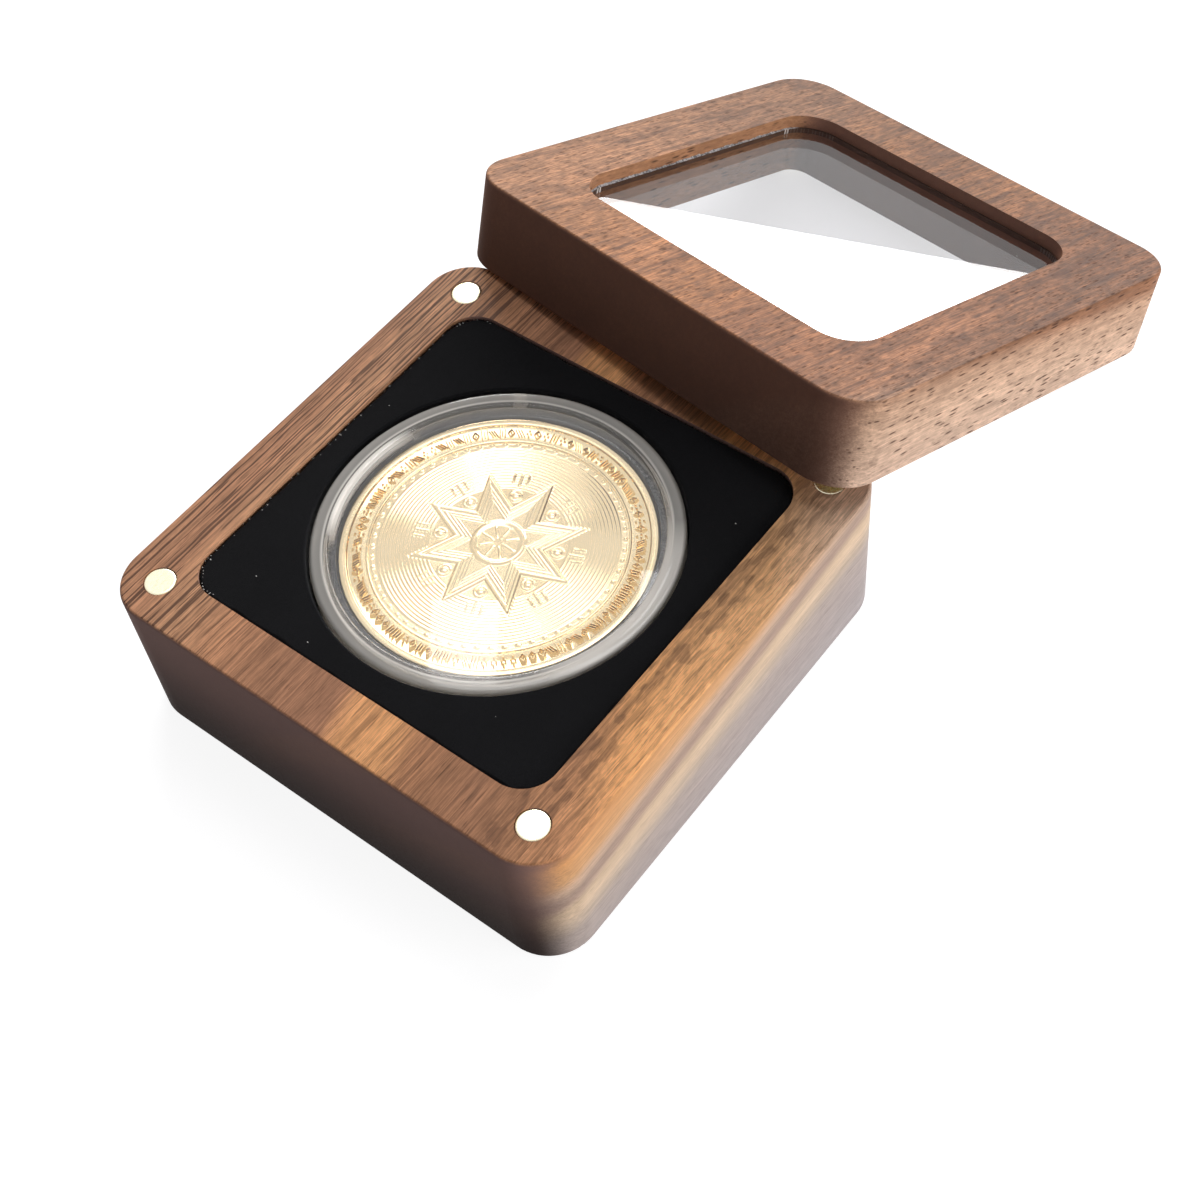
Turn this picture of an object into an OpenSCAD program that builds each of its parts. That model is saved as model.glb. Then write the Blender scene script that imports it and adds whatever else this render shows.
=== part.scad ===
// Coin display case: a walnut base with a flocked insert, a clear capsule that
// holds one coin, and a walnut lid with a clear window, held shut by small
// magnets. The lid is off, and leans on the base's back edge and on the table.
// Lengths are in millimetres, angles in degrees, +Z is up, and the origin is
// the middle of the base's underside.

/* [Case] */
// Width and depth of the base and of the lid
case_w = 67; // [65:1:80]
// Height of the base
base_h = 22; // [21:0.5:28]
// Height of the lid
lid_h = 12; // [11:0.5:16]
// Radius of the upright corners, seen from above
corner_r = 6.2; // [4:0.2:8]
// Radius of the softened outer edges
edge_r = 0.4; // [0.3:0.1:1.2]

/* [Pocket] */
// Thickness of the base's walls
wall_t = 7.1; // [6:0.1:8]
// Depth of the pocket, from the rim down
pocket_depth = 18; // [15:0.5:19]
// Radius of the pocket's upright corners
pocket_r = 4.5; // [3:0.5:6]

/* [Window] */
// Width of the lid's top face between its outer edge and the window
window_border = 9.7; // [8.5:0.1:11]
// Radius of the window's corners
window_r = 5.5; // [3:0.5:7]
// Width of the rim left around the rebate in the lid's underside
rebate_border = 7.1; // [6:0.1:8]
// Depth of the rebate
rebate_depth = 7; // [4:0.5:7.5]
// Radius of the rebate's corners
rebate_r = 2.5; // [1.5:0.5:5]
// Thickness of the clear pane
pane_t = 2; // [1:0.1:2.2]
// Depth of the pane's upper face below the lid's top face
pane_drop = 1.8; // [0.4:0.1:2.2]
// Width of the bond between the pane and the walls of the window
bond_t = 0.3; // [0.2:0.05:0.6]

/* [Magnets] */
// Diameter of each magnet
magnet_d = 4; // [3:0.5:4.5]
// Height of each magnet
magnet_h = 3; // [2:0.5:4]
// Distance of a magnet's axis from the two nearest sides of the case
magnet_inset = 5.25; // [4.8:0.05:5.5]
// Gap around a magnet in its hole
magnet_gap = 0.05; // [0.02:0.01:0.1]
// Softened edge of a magnet
magnet_edge = 0.3; // [0.1:0.05:0.4]

/* [Insert] */
// Depth of the insert's upper face below the rim
insert_drop = 0.4; // [0:0.1:1]
// Gap between the insert and the pocket's walls
insert_gap = 0.1; // [0.05:0.05:0.3]
// Gap between the capsule and the wall of its hole
hole_gap = 0.3; // [0.25:0.05:0.8]
// Softened upper edge of the hole
hole_edge = 0.3; // [0.2:0.1:0.9]

/* [Capsule] */
// Thickness of the capsule's two round faces
face_t = 1.2; // [0.8:0.1:1.6]
// Width of the standing wall of the lower half
inner_wall_t = 1.5; // [1:0.1:1.8]
// Width of the hanging wall of the upper half
outer_wall_t = 1.55; // [1:0.05:1.8]
// Height of the lower half's foot, where the two halves meet outside
foot_h = 1.6; // [1.5:0.1:2.4]
// How far the faces lie in from the raised rings around them
face_recess = 0.3; // [0.1:0.05:0.5]
// Softened outer edge of the capsule
capsule_edge = 0.6; // [0.2:0.1:0.7]
// Running gap between the two halves' walls
wall_gap = 0.05; // [0.03:0.01:0.1]
// How far the capsule's top lies below the insert's upper face
capsule_sink = 0.2; // [0:0.1:2]
// Width of the moulding gate on the upper half
gate_w = 1.8; // [0.8:0.1:2.4]
// How far the moulding gate stands proud of the rim
gate_proud = 0.15; // [0.05:0.05:0.2]
// Bearing of the moulding gate, turning left from the right-hand side
gate_bearing = 122; // [90:1:180]

/* [Coin] */
// Diameter of the coin
coin_d = 38.4; // [36:0.2:39]
// Height of the coin over its raised rim
coin_h = 3; // [2:0.1:3.4]
// Gap between the coin's edge and the capsule's inner wall
coin_gap = 0.2; // [0.1:0.05:0.5]
// Gap above the coin inside the capsule
coin_headroom = 0.4; // [0.2:0.1:1]
// Softened edge of the coin
coin_edge = 0.2; // [0.1:0.05:0.3]
// Width of the coin's raised rim
coin_rim_w = 1; // [0.6:0.1:1.6]
// Depth of the coin's field below its rim
field_drop = 0.35; // [0.2:0.05:0.5]
// Height of the coin's relief over its field
relief_h = 0.25; // [0.15:0.05:0.35]
// Width of the ornamented band inside the rim
band_w = 2.5; // [1.5:0.1:3.5]
// Number of raised bars in the band
bar_count = 48; // [24:4:72]
// Length of a bar, towards the coin's middle
bar_l = 1.5; // [0.8:0.1:2]
// Number of beads on the circle inside the band
bead_count = 60; // [24:4:96]
// Diameter of a bead
bead_d = 0.5; // [0.3:0.05:0.7]
// Number of fine ripple rings in the field
ripple_count = 14; // [4:1:20]
// Radius of the innermost ripple ring
ripple_in_r = 8.4; // [6:0.2:10]
// Number of points of the star, and of the petals between them
star_points = 8; // [5:1:12]
// Radius to the points of the star
star_r = 10.6; // [8:0.2:12]
// Radius to the notches of the star
star_notch_r = 5.6; // [4:0.2:7]
// Radius of the round boss in the middle of the star
boss_r = 3.4; // [2:0.2:4]
// How far the boss stands up from the star
boss_proud = 0.05; // [0.05:0.05:0.1]
// Radius of a petal
petal_r = 0.85; // [0.5:0.05:1]
// Radius of the circle that the petals stand on
petal_ring_r = 7.3; // [6.6:0.1:8.5]

/* [Lid leaning on the base] */
// How far the lid laps over the base's back edge, along the lid's middle line
lid_lap = 5.9; // [4:0.1:6.5]
// How far the lid's middle lies to the right
lid_shift = 4.4; // [0:0.2:8]
// Turn of the lid in its own plane, clockwise from above
lid_turn = 9; // [0:0.1:12]
// Gap between the lid and the edge that it leans on
lid_gap = 0.3; // [0.1:0.05:0.5]

/* [Hidden] */
$fn = 96;
// How far a cutting shape runs past the face that it cuts
over = 1;

walnut = [0.44, 0.28, 0.19];
walnut_lid = [0.50, 0.32, 0.22];
nickel = [0.90, 0.88, 0.82];
flock = [0.07, 0.07, 0.08];
foam = [0.13, 0.13, 0.14];
clear = [0.85, 0.88, 0.90, 0.35];
gold = [0.88, 0.74, 0.48];

pocket_w = case_w - 2 * wall_t;
pocket_floor = base_h - pocket_depth;
magnet_at = case_w / 2 - magnet_inset;

// Heights inside the capsule, from the ring it stands on
floor_z = face_recess + face_t;
ceiling_z = floor_z + coin_h + coin_headroom;
capsule_h = ceiling_z + face_t + face_recess;
// Radii of the capsule, from the coin outwards
coin_r = coin_d / 2;
chamber_r = coin_r + coin_gap;
inner_wall_r = chamber_r + inner_wall_t;
skirt_r = inner_wall_r + wall_gap;
capsule_r = skirt_r + outer_wall_t;

insert_w = pocket_w - 2 * insert_gap;
insert_top = base_h - insert_drop;
insert_r = pocket_r - insert_gap;
hole_r = capsule_r + hole_gap;
capsule_z = insert_top - capsule_sink - capsule_h;

window_w = case_w - 2 * window_border;
rebate_w = case_w - 2 * rebate_border;
pane_z = lid_h - pane_drop - pane_t;
pane_w = window_w - 2 * bond_t;

// The lid's middle in its own leaning plane, behind the base's back edge
lid_back = case_w / 2 - lid_lap;
// Farthest reach of the lid's outline behind the base's back edge, in its plane
lid_reach = lid_back + (case_w / 2 - corner_r) * (abs(sin(lid_turn)) + cos(lid_turn))
    + corner_r - edge_r;
// Height of the leaning plane over the base's back edge, before the edges are
// softened: the softened edge is lower, and the gap is measured from that
function lean_lift(t) = lid_gap - edge_r * (sin(t) + cos(t) - 1);
// Lean at which the lid's lowest softened corner just meets the table, found
// by putting each answer back in a few times
function lean(t, n) = n == 0 ? t : lean(asin((base_h + lean_lift(t) * cos(t)
    - edge_r * (1 - cos(t))) / lid_reach), n - 1);
lid_lean = lean(18, 12);

// Square with round corners
module round_square(w, r) {
    square([w - 2 * r, w], center = true);
    square([w, w - 2 * r], center = true);
    for (x = [-1, 1], y = [-1, 1])
        translate([x * (w / 2 - r), y * (w / 2 - r)]) circle(r);
}

// Upright section with four softened corners, standing on the X axis
module soft_section(w, h, e) {
    translate([-w / 2 + e, 0]) square([w - 2 * e, h]);
    translate([-w / 2, e]) square([w, h - 2 * e]);
    for (x = [-1, 1], y = [e, h - e])
        translate([x * (w / 2 - e), y]) circle(e);
}

// Half of such a section, to be turned about the Z axis
module soft_half_section(r, h, e) {
    square([r - e, h]);
    translate([0, e]) square([r, h - 2 * e]);
    for (y = [e, h - e]) translate([r - e, y]) circle(e);
}

// Square block with round upright corners and softened edges all round: two
// crossing bars and a turned post in each corner
module soft_block(w, h, r, e) {
    for (a = [0, 90])
        rotate([90, 0, a])
            linear_extrude(w - 2 * r, center = true) soft_section(w, h, e);
    for (x = [-1, 1], y = [-1, 1])
        translate([x * (w / 2 - r), y * (w / 2 - r), 0])
            rotate_extrude() soft_half_section(r, h, e);
}

// The places of the four magnets, by name
function corner(name) =
    name == "front_left" ? [-magnet_at, -magnet_at] :
    name == "front_right" ? [magnet_at, -magnet_at] :
    name == "back_right" ? [magnet_at, magnet_at] : [-magnet_at, magnet_at];

module magnet_hole(at, z) {
    translate([at.x, at.y, z]) cylinder(h = magnet_h + over, r = magnet_d / 2 + magnet_gap);
}

module magnet(at, z) {
    color(nickel) translate([at.x, at.y, z])
        rotate_extrude() soft_half_section(magnet_d / 2, magnet_h, magnet_edge);
}

// A magnet of the base, its face level with the rim
module base_magnet(name) {
    magnet(corner(name), base_h - magnet_h);
}

// A magnet of the lid, its face level with the underside
module lid_magnet(name) {
    on_lid() magnet(corner(name), 0);
}

// Everything that belongs to the lid is drawn with the lid's underside on the
// ground, and laid in its leaning place by this module
module on_lid() {
    translate([0, case_w / 2, base_h])
        rotate([-lid_lean, 0, 0])
            translate([lid_shift, lid_back, lean_lift(lid_lean)])
                rotate([0, 0, -lid_turn]) children();
}

module base_block() {
    color(walnut) difference() {
        soft_block(case_w, base_h, corner_r, edge_r);
        translate([0, 0, pocket_floor])
            linear_extrude(pocket_depth + over) round_square(pocket_w, pocket_r);
        for (x = [-1, 1], y = [-1, 1])
            magnet_hole([x * magnet_at, y * magnet_at], base_h - magnet_h);
    }
}

module insert_lower_layer() {
    color(foam) translate([0, 0, pocket_floor])
        linear_extrude(capsule_z - pocket_floor) round_square(insert_w, insert_r);
}

// Upper layer, with the round hole for the capsule. A ring cut at the mouth
// of the hole leaves its upper edge softened
module insert_upper_layer() {
    color(flock) difference() {
        translate([0, 0, capsule_z])
            linear_extrude(insert_top - capsule_z) round_square(insert_w, insert_r);
        translate([0, 0, capsule_z - over])
            cylinder(h = insert_top - capsule_z + 2 * over, r = hole_r);
        translate([0, 0, insert_top - hole_edge]) rotate_extrude() difference() {
            square([hole_r + hole_edge, hole_edge + over]);
            translate([hole_r + hole_edge, 0]) circle(hole_edge);
        }
    }
}

// Half section of the lower half: a ring to stand on, the floor lying a
// little above it, and a standing wall around the coin
module lower_half_section() {
    ring_r = chamber_r + inner_wall_t / 2;
    translate([0, face_recess]) square([capsule_r - capsule_edge, face_t]);
    difference() {
        soft_half_section(capsule_r, 2 * foot_h, capsule_edge);
        translate([0, -over]) square([ring_r, over + face_recess]);
        translate([0, floor_z]) square([chamber_r, 2 * foot_h]);
        translate([0, foot_h]) square([capsule_r + over, 2 * foot_h]);
    }
    translate([chamber_r, floor_z - face_t / 2])
        square([inner_wall_t, ceiling_z - coin_headroom / 2 - floor_z + face_t / 2]);
}

module capsule_lower_half() {
    color(clear) translate([0, 0, capsule_z]) rotate_extrude() lower_half_section();
}

// Half section of the upper half: the face over the coin, a raised ring
// around it, and a wall that hangs outside the lower half's wall
module upper_half_section() {
    ring_r = chamber_r + inner_wall_t / 2;
    difference() {
        translate([0, foot_h - capsule_edge])
            soft_half_section(capsule_r, capsule_h - foot_h + capsule_edge, capsule_edge);
        square([capsule_r + over, foot_h]);
        translate([0, foot_h - over]) square([skirt_r, ceiling_z - foot_h + over]);
        translate([0, capsule_h - face_recess]) square([ring_r, face_recess + over]);
    }
}

// The gate is the small stub that the moulding leaves on the rim
module capsule_upper_half() {
    color(clear) translate([0, 0, capsule_z]) {
        rotate_extrude() upper_half_section();
        rotate([0, 0, gate_bearing])
            translate([capsule_r - outer_wall_t / 2, -gate_w / 2, capsule_h - 2 * face_t])
                cube([outer_wall_t / 2 + gate_proud, gate_w, face_t]);
    }
}

// Heights on the coin, from its underside
field_z = coin_h - field_drop;
band_out_r = coin_r - coin_rim_w;
band_in_r = band_out_r - band_w;
// Ripple rings run from the star's circle out to the bead circle
bead_ring_r = band_in_r - bead_d;
ripple_out_r = bead_ring_r - bead_d;
ripple_pitch = (ripple_out_r - ripple_in_r) / ripple_count;
ripple_h = ripple_pitch / 4;

// Crests and troughs of the ripple rings, from the outermost inwards
function ripple_points() = [for (i = [0 : 2 * ripple_count])
    [ripple_out_r - i * ripple_pitch / 2, field_z + (i % 2) * ripple_h]];

// Half section of the blank: plain back, raised rims, rippled field
module coin_section() {
    polygon(concat([[0, field_drop], [band_out_r, field_drop], [band_out_r, 0],
        [coin_r - coin_edge, 0], [coin_r, coin_edge], [coin_r, coin_h - coin_edge],
        [coin_r - coin_edge, coin_h], [band_out_r, coin_h], [band_out_r, field_z]],
        ripple_points(), [[0, field_z]]));
}

// Ring that stands up from the field, overlapping it a little
module relief_ring(r, w) {
    translate([0, 0, field_z - relief_h]) difference() {
        cylinder(h = 2 * relief_h, r = r + w / 2);
        translate([0, 0, -over]) cylinder(h = 2 * relief_h + 2 * over, r = r - w / 2);
    }
}

// Star with its points and notches by turns
module star() {
    polygon([for (i = [0 : 2 * star_points - 1])
        let (r = i % 2 == 0 ? star_r : star_notch_r, a = i * 180 / star_points)
        [r * cos(a), r * sin(a)]]);
}

// Puts a copy of what stands at the given radius at each of a number of places
// around the coin, sunk into its field; the first is turned from the X axis
module around(count, r, first = 0) {
    for (i = [0 : count - 1]) rotate([0, 0, first + i * 360 / count])
        translate([r, 0, field_z - relief_h]) children();
}

// The coin's face is a plain compass star with a boss and petals, a circle of
// beads, and a band of bars
module coin() {
    bar_w = PI * band_out_r / bar_count;
    color(gold) translate([0, 0, capsule_z + floor_z]) {
        rotate_extrude() coin_section();
        relief_ring(band_in_r, bead_d / 2);
        around(bead_count, bead_ring_r) cylinder(h = 2 * relief_h, r = bead_d / 2, $fn = 24);
        around(bar_count, (band_in_r + band_out_r) / 2) translate([-bar_l / 2, -bar_w / 2, 0])
            cube([bar_l, bar_w, 2 * relief_h]);
        around(1, 0) linear_extrude(2 * relief_h) star();
        around(1, 0) cylinder(h = 2 * relief_h + boss_proud, r = boss_r);
        around(star_points, petal_ring_r, 180 / star_points)
            cylinder(h = 2 * relief_h, r = petal_r);
    }
}

// Frame of the lid: the window cut from above and a wider rebate from beneath
module lid_frame() {
    color(walnut_lid) on_lid() difference() {
        soft_block(case_w, lid_h, corner_r, edge_r);
        translate([0, 0, rebate_depth - over])
            linear_extrude(lid_h + over) round_square(window_w, window_r);
        translate([0, 0, -over])
            linear_extrude(rebate_depth + over) round_square(rebate_w, rebate_r);
        for (x = [-1, 1], y = [-1, 1])
            magnet_hole([x * magnet_at, y * magnet_at], -over);
    }
}

module window_pane() {
    color(clear) on_lid() translate([0, 0, pane_z])
        linear_extrude(pane_t) round_square(pane_w, window_r - bond_t);
}

// The bond fills the gap between the pane's edge and the window's walls
module pane_bond() {
    color(clear) on_lid() translate([0, 0, pane_z]) linear_extrude(pane_t) difference() {
        round_square(window_w, window_r);
        round_square(pane_w, window_r - bond_t);
    }
}

base_block();
base_magnet("front_left");  // base_magnet_front_left
base_magnet("front_right");  // base_magnet_front_right
base_magnet("back_right");  // base_magnet_back_right
base_magnet("back_left");  // base_magnet_back_left
insert_lower_layer();
insert_upper_layer();
capsule_lower_half();
capsule_upper_half();
coin();
lid_frame();
window_pane();
pane_bond();
lid_magnet("front_left");  // lid_magnet_front_left
lid_magnet("front_right");  // lid_magnet_front_right
lid_magnet("back_right");  // lid_magnet_back_right
lid_magnet("back_left");  // lid_magnet_back_left
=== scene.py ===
"""Looks of a walnut coin display case, built around its packed construction model.

A walnut base holds a flocked insert, and in the insert's round hole stands a clear capsule
with one struck coin. The walnut lid has a clear window, and leans on the base's back edge.
The construction model keeps its own solids for the two blocks of walnut, the magnets and the
window pane, which get their finishes here. The insert, the capsule, the coin and the bond of
the window are modelled here as finer surfaces, in the places of their solids.

Surfaces are worked out in millimetres, in the frame of the construction model: the origin is
the middle of the base's underside, and +Z is up. They become metres when a mesh is made.
"""

import logging
import math
from dataclasses import dataclass, field
from enum import Enum

import bmesh
import bpy
import numpy as np
from mathutils import Matrix, Vector


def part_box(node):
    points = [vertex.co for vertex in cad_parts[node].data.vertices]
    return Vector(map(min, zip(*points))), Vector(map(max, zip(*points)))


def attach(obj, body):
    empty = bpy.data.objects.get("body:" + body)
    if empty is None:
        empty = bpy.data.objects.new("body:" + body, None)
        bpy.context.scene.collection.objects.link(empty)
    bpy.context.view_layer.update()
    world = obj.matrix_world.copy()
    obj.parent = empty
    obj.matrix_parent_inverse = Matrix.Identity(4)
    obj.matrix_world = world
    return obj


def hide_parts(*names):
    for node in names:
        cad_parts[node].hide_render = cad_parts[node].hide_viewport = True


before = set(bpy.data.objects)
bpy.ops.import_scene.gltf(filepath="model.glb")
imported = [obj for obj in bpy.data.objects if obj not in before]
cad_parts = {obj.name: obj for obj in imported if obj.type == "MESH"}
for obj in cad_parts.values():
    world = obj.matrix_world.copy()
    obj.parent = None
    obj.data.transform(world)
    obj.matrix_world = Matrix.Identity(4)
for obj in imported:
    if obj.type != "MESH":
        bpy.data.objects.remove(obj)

logging.basicConfig(level=logging.INFO, format="%(message)s")
log = logging.getLogger("coin_display_case")

MM = 0.001
FULL_TURN = 2.0 * math.pi
Colour = tuple[int, int, int]


def linear(colour: Colour) -> tuple[float, float, float, float]:
    """Colour as the renderer wants it.

    Args:
        colour: Red, green and blue from 0 to 255, as a screen shows them.

    Returns:
        The same colour in linear light, with an alpha of one.
    """
    share = np.array(colour, float) / 255.0
    low, high = share / 12.92, ((share + 0.055) / 1.055) ** 2.4
    red, green, blue = np.where(share <= 0.04045, low, high)
    return float(red), float(green), float(blue), 1.0


def box_mm(node: str) -> tuple[np.ndarray, np.ndarray]:
    """Box of one node of the construction model.

    Args:
        node: The node's name.

    Returns:
        Its lowest and its highest corner, in millimetres.
    """
    low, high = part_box(node)
    return np.array(low) / MM, np.array(high) / MM


# Surfaces


@dataclass
class Surface:
    """Points in millimetres, and the faces that join them: all of four corners, or all of three."""

    points: np.ndarray
    faces: np.ndarray

    @staticmethod
    def joined(parts: list["Surface"]) -> "Surface":
        """Puts several surfaces into one.

        Args:
            parts: The surfaces, none of which is changed.

        Returns:
            One surface that holds them all.
        """
        starts = np.cumsum([0] + [len(part.points) for part in parts[:-1]])
        return Surface(
            np.concatenate([part.points for part in parts]),
            np.concatenate([part.faces + start for part, start in zip(parts, starts)]),
        )

    @staticmethod
    def grid(points: np.ndarray, loop_rows: bool = False, loop_columns: bool = True) -> "Surface":
        """Joins a grid of points with faces.

        Point (r, c) of the grid is joined to (r + 1, c), (r + 1, c + 1) and (r, c + 1).

        Args:
            points: Array of rows, columns and three coordinates.
            loop_rows: Whether the last row is joined to the first.
            loop_columns: Whether the last column is joined to the first.

        Returns:
            The surface over the grid.
        """
        rows, columns = points.shape[:2]
        index = np.arange(rows * columns).reshape(rows, columns)
        if loop_rows:
            index = np.concatenate([index, index[:1]])
        if loop_columns:
            index = np.concatenate([index, index[:, :1]], axis=1)
        corners = [index[:-1, :-1], index[1:, :-1], index[1:, 1:], index[:-1, 1:]]
        return Surface(points.reshape(-1, 3), np.stack([c.ravel() for c in corners], axis=1))

    @staticmethod
    def copies(points: np.ndarray, faces: np.ndarray) -> "Surface":
        """Makes many small shapes that share one pattern of faces.

        Args:
            points: Array of shapes, points of a shape and three coordinates.
            faces: The faces of one shape, one row of corners for each.

        Returns:
            One surface that holds every shape.
        """
        count, size = points.shape[:2]
        starts = (np.arange(count) * size)[:, None, None]
        return Surface(points.reshape(-1, 3), (faces[None] + starts).reshape(-1, faces.shape[1]))

    def piece(self, name: str, sharp_deg: float = 35.0) -> bpy.types.Object:
        """Makes a mesh object of the surface, closed and with its faces outwards.

        Args:
            name: The name of the piece.
            sharp_deg: Edges that bend more than this are shaded as edges.

        Returns:
            The new object, at the origin, with its place in its mesh.
        """
        mesh = bpy.data.meshes.new(name)
        mesh.vertices.add(len(self.points))
        mesh.vertices.foreach_set("co", (self.points * MM).astype(np.float32).ravel())
        mesh.loops.add(self.faces.size)
        mesh.loops.foreach_set("vertex_index", self.faces.astype(np.int32).ravel())
        mesh.polygons.add(len(self.faces))
        corners = self.faces.shape[1]
        mesh.polygons.foreach_set("loop_start", np.arange(0, self.faces.size, corners, dtype=np.int32))
        mesh.update(calc_edges=True)
        work = bmesh.new()
        work.from_mesh(mesh)
        bmesh.ops.remove_doubles(work, verts=work.verts, dist=1e-8)
        bmesh.ops.recalc_face_normals(work, faces=work.faces)
        work.to_mesh(mesh)
        work.free()
        mesh.polygons.foreach_set("use_smooth", np.ones(len(mesh.polygons), bool))
        mesh.set_sharp_from_angle(angle=math.radians(sharp_deg))
        made = bpy.data.objects.new(name, mesh)
        bpy.context.scene.collection.objects.link(made)
        return made


def turned(profile: np.ndarray, columns: int, closed: bool = False) -> Surface:
    """Turns a profile about the Z axis.

    A point (r, z) of the profile goes to (r cos a, r sin a, z) for each angle a of a full turn.

    Args:
        profile: Points of radius and height.
        columns: Number of steps in the turn.
        closed: Whether the profile's last point is joined to its first.

    Returns:
        The turned surface.
    """
    angle = np.arange(columns) * FULL_TURN / columns
    radius, height = profile[:, :1], profile[:, 1:]
    flat = np.ones_like(angle)
    points = np.stack([radius * np.cos(angle), radius * np.sin(angle), height * flat], axis=2)
    return Surface.grid(points, loop_rows=closed)


def square_path(half: float, radius: float, arc_steps: int = 12, side_steps: int = 24) -> np.ndarray:
    """Outline of a square with round corners.

    Args:
        half: Half of the square's width.
        radius: Radius of its corners.
        arc_steps: Steps along each corner.
        side_steps: Steps along each straight side.

    Returns:
        Array of points, each a place x, y and the direction outwards x, y.
    """
    arc = np.linspace(0.0, math.pi / 2.0, arc_steps + 1)
    rows = []
    for quarter in range(4):
        turn = quarter * math.pi / 2.0
        out = np.stack([np.cos(arc + turn), np.sin(arc + turn)], axis=1)
        middle = (half - radius) * np.array([[1.0, 1.0], [-1.0, 1.0], [-1.0, -1.0], [1.0, -1.0]][quarter])
        rows.append(np.concatenate([middle + radius * out, out], axis=1))
        after = (half - radius) * np.array([[-1.0, 1.0], [-1.0, -1.0], [1.0, -1.0], [1.0, 1.0]][quarter])
        share = np.linspace(0.0, 1.0, side_steps + 1)[1:-1, None]
        side = (1.0 - share) * (middle + radius * out[-1]) + share * (after + radius * out[-1])
        rows.append(np.concatenate([side, np.repeat(out[-1:], len(side), axis=0)], axis=1))
    return np.concatenate(rows)


def carried(profile: np.ndarray, path: np.ndarray, closed: bool = True) -> Surface:
    """Carries a profile along an outline in the XY plane.

    A point (w, z) of the profile stands w inwards of each point of the outline, at height z.

    Args:
        profile: Points of inward distance and height, or an array of such profiles with one
            for each point of the outline.
        path: Outline as square_path gives it.
        closed: Whether the profile's last point is joined to its first.

    Returns:
        The carried surface.
    """
    if profile.ndim == 2:
        profile = np.repeat(profile[:, None], len(path), axis=1)
    inward, height = profile[..., 0], profile[..., 1]
    place = path[None, :, :2] - inward[..., None] * path[None, :, 2:]
    return Surface.grid(np.concatenate([place, height[..., None]], axis=2), loop_rows=closed)


def arc(centre: tuple[float, float], radius: float, start: float, end: float, steps: int) -> np.ndarray:
    """Points along an arc of a profile.

    Args:
        centre: Middle of the arc.
        radius: Its radius.
        start: Angle of its first point, in degrees.
        end: Angle of its last point, in degrees.
        steps: Number of steps.

    Returns:
        Array of points.
    """
    angle = np.radians(np.linspace(start, end, steps + 1))
    return np.array(centre) + radius * np.stack([np.cos(angle), np.sin(angle)], axis=1)


def profile_of(*parts: np.ndarray | tuple[float, float]) -> np.ndarray:
    """Joins single points and runs of points into one profile."""
    return np.concatenate([np.atleast_2d(np.array(part, float)) for part in parts])


def eased(value: np.ndarray, at: float, soft: float) -> np.ndarray:
    """Step from 0 to 1 where a value passes a limit.

    The share t of the way through the soft stretch is turned into 3 t squared less 2 t cubed.

    Args:
        value: What is read.
        at: The limit.
        soft: Width of the stretch about the limit.

    Returns:
        The step.
    """
    share = np.clip((value - at) / soft + 0.5, 0.0, 1.0)
    return share * share * (3.0 - 2.0 * share)


def ridge(value: np.ndarray, at: float, half: float) -> np.ndarray:
    """Round ridge of height 1 along the line where a value equals a limit.

    Args:
        value: What is read.
        at: The limit.
        half: Half of the ridge's width.

    Returns:
        The square root of 1 less the squared share of the half width.
    """
    return np.sqrt(np.clip(1.0 - ((value - at) / half) ** 2, 0.0, 1.0))


# Finishes


Socket = bpy.types.NodeSocket
Value = Socket | float


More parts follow.
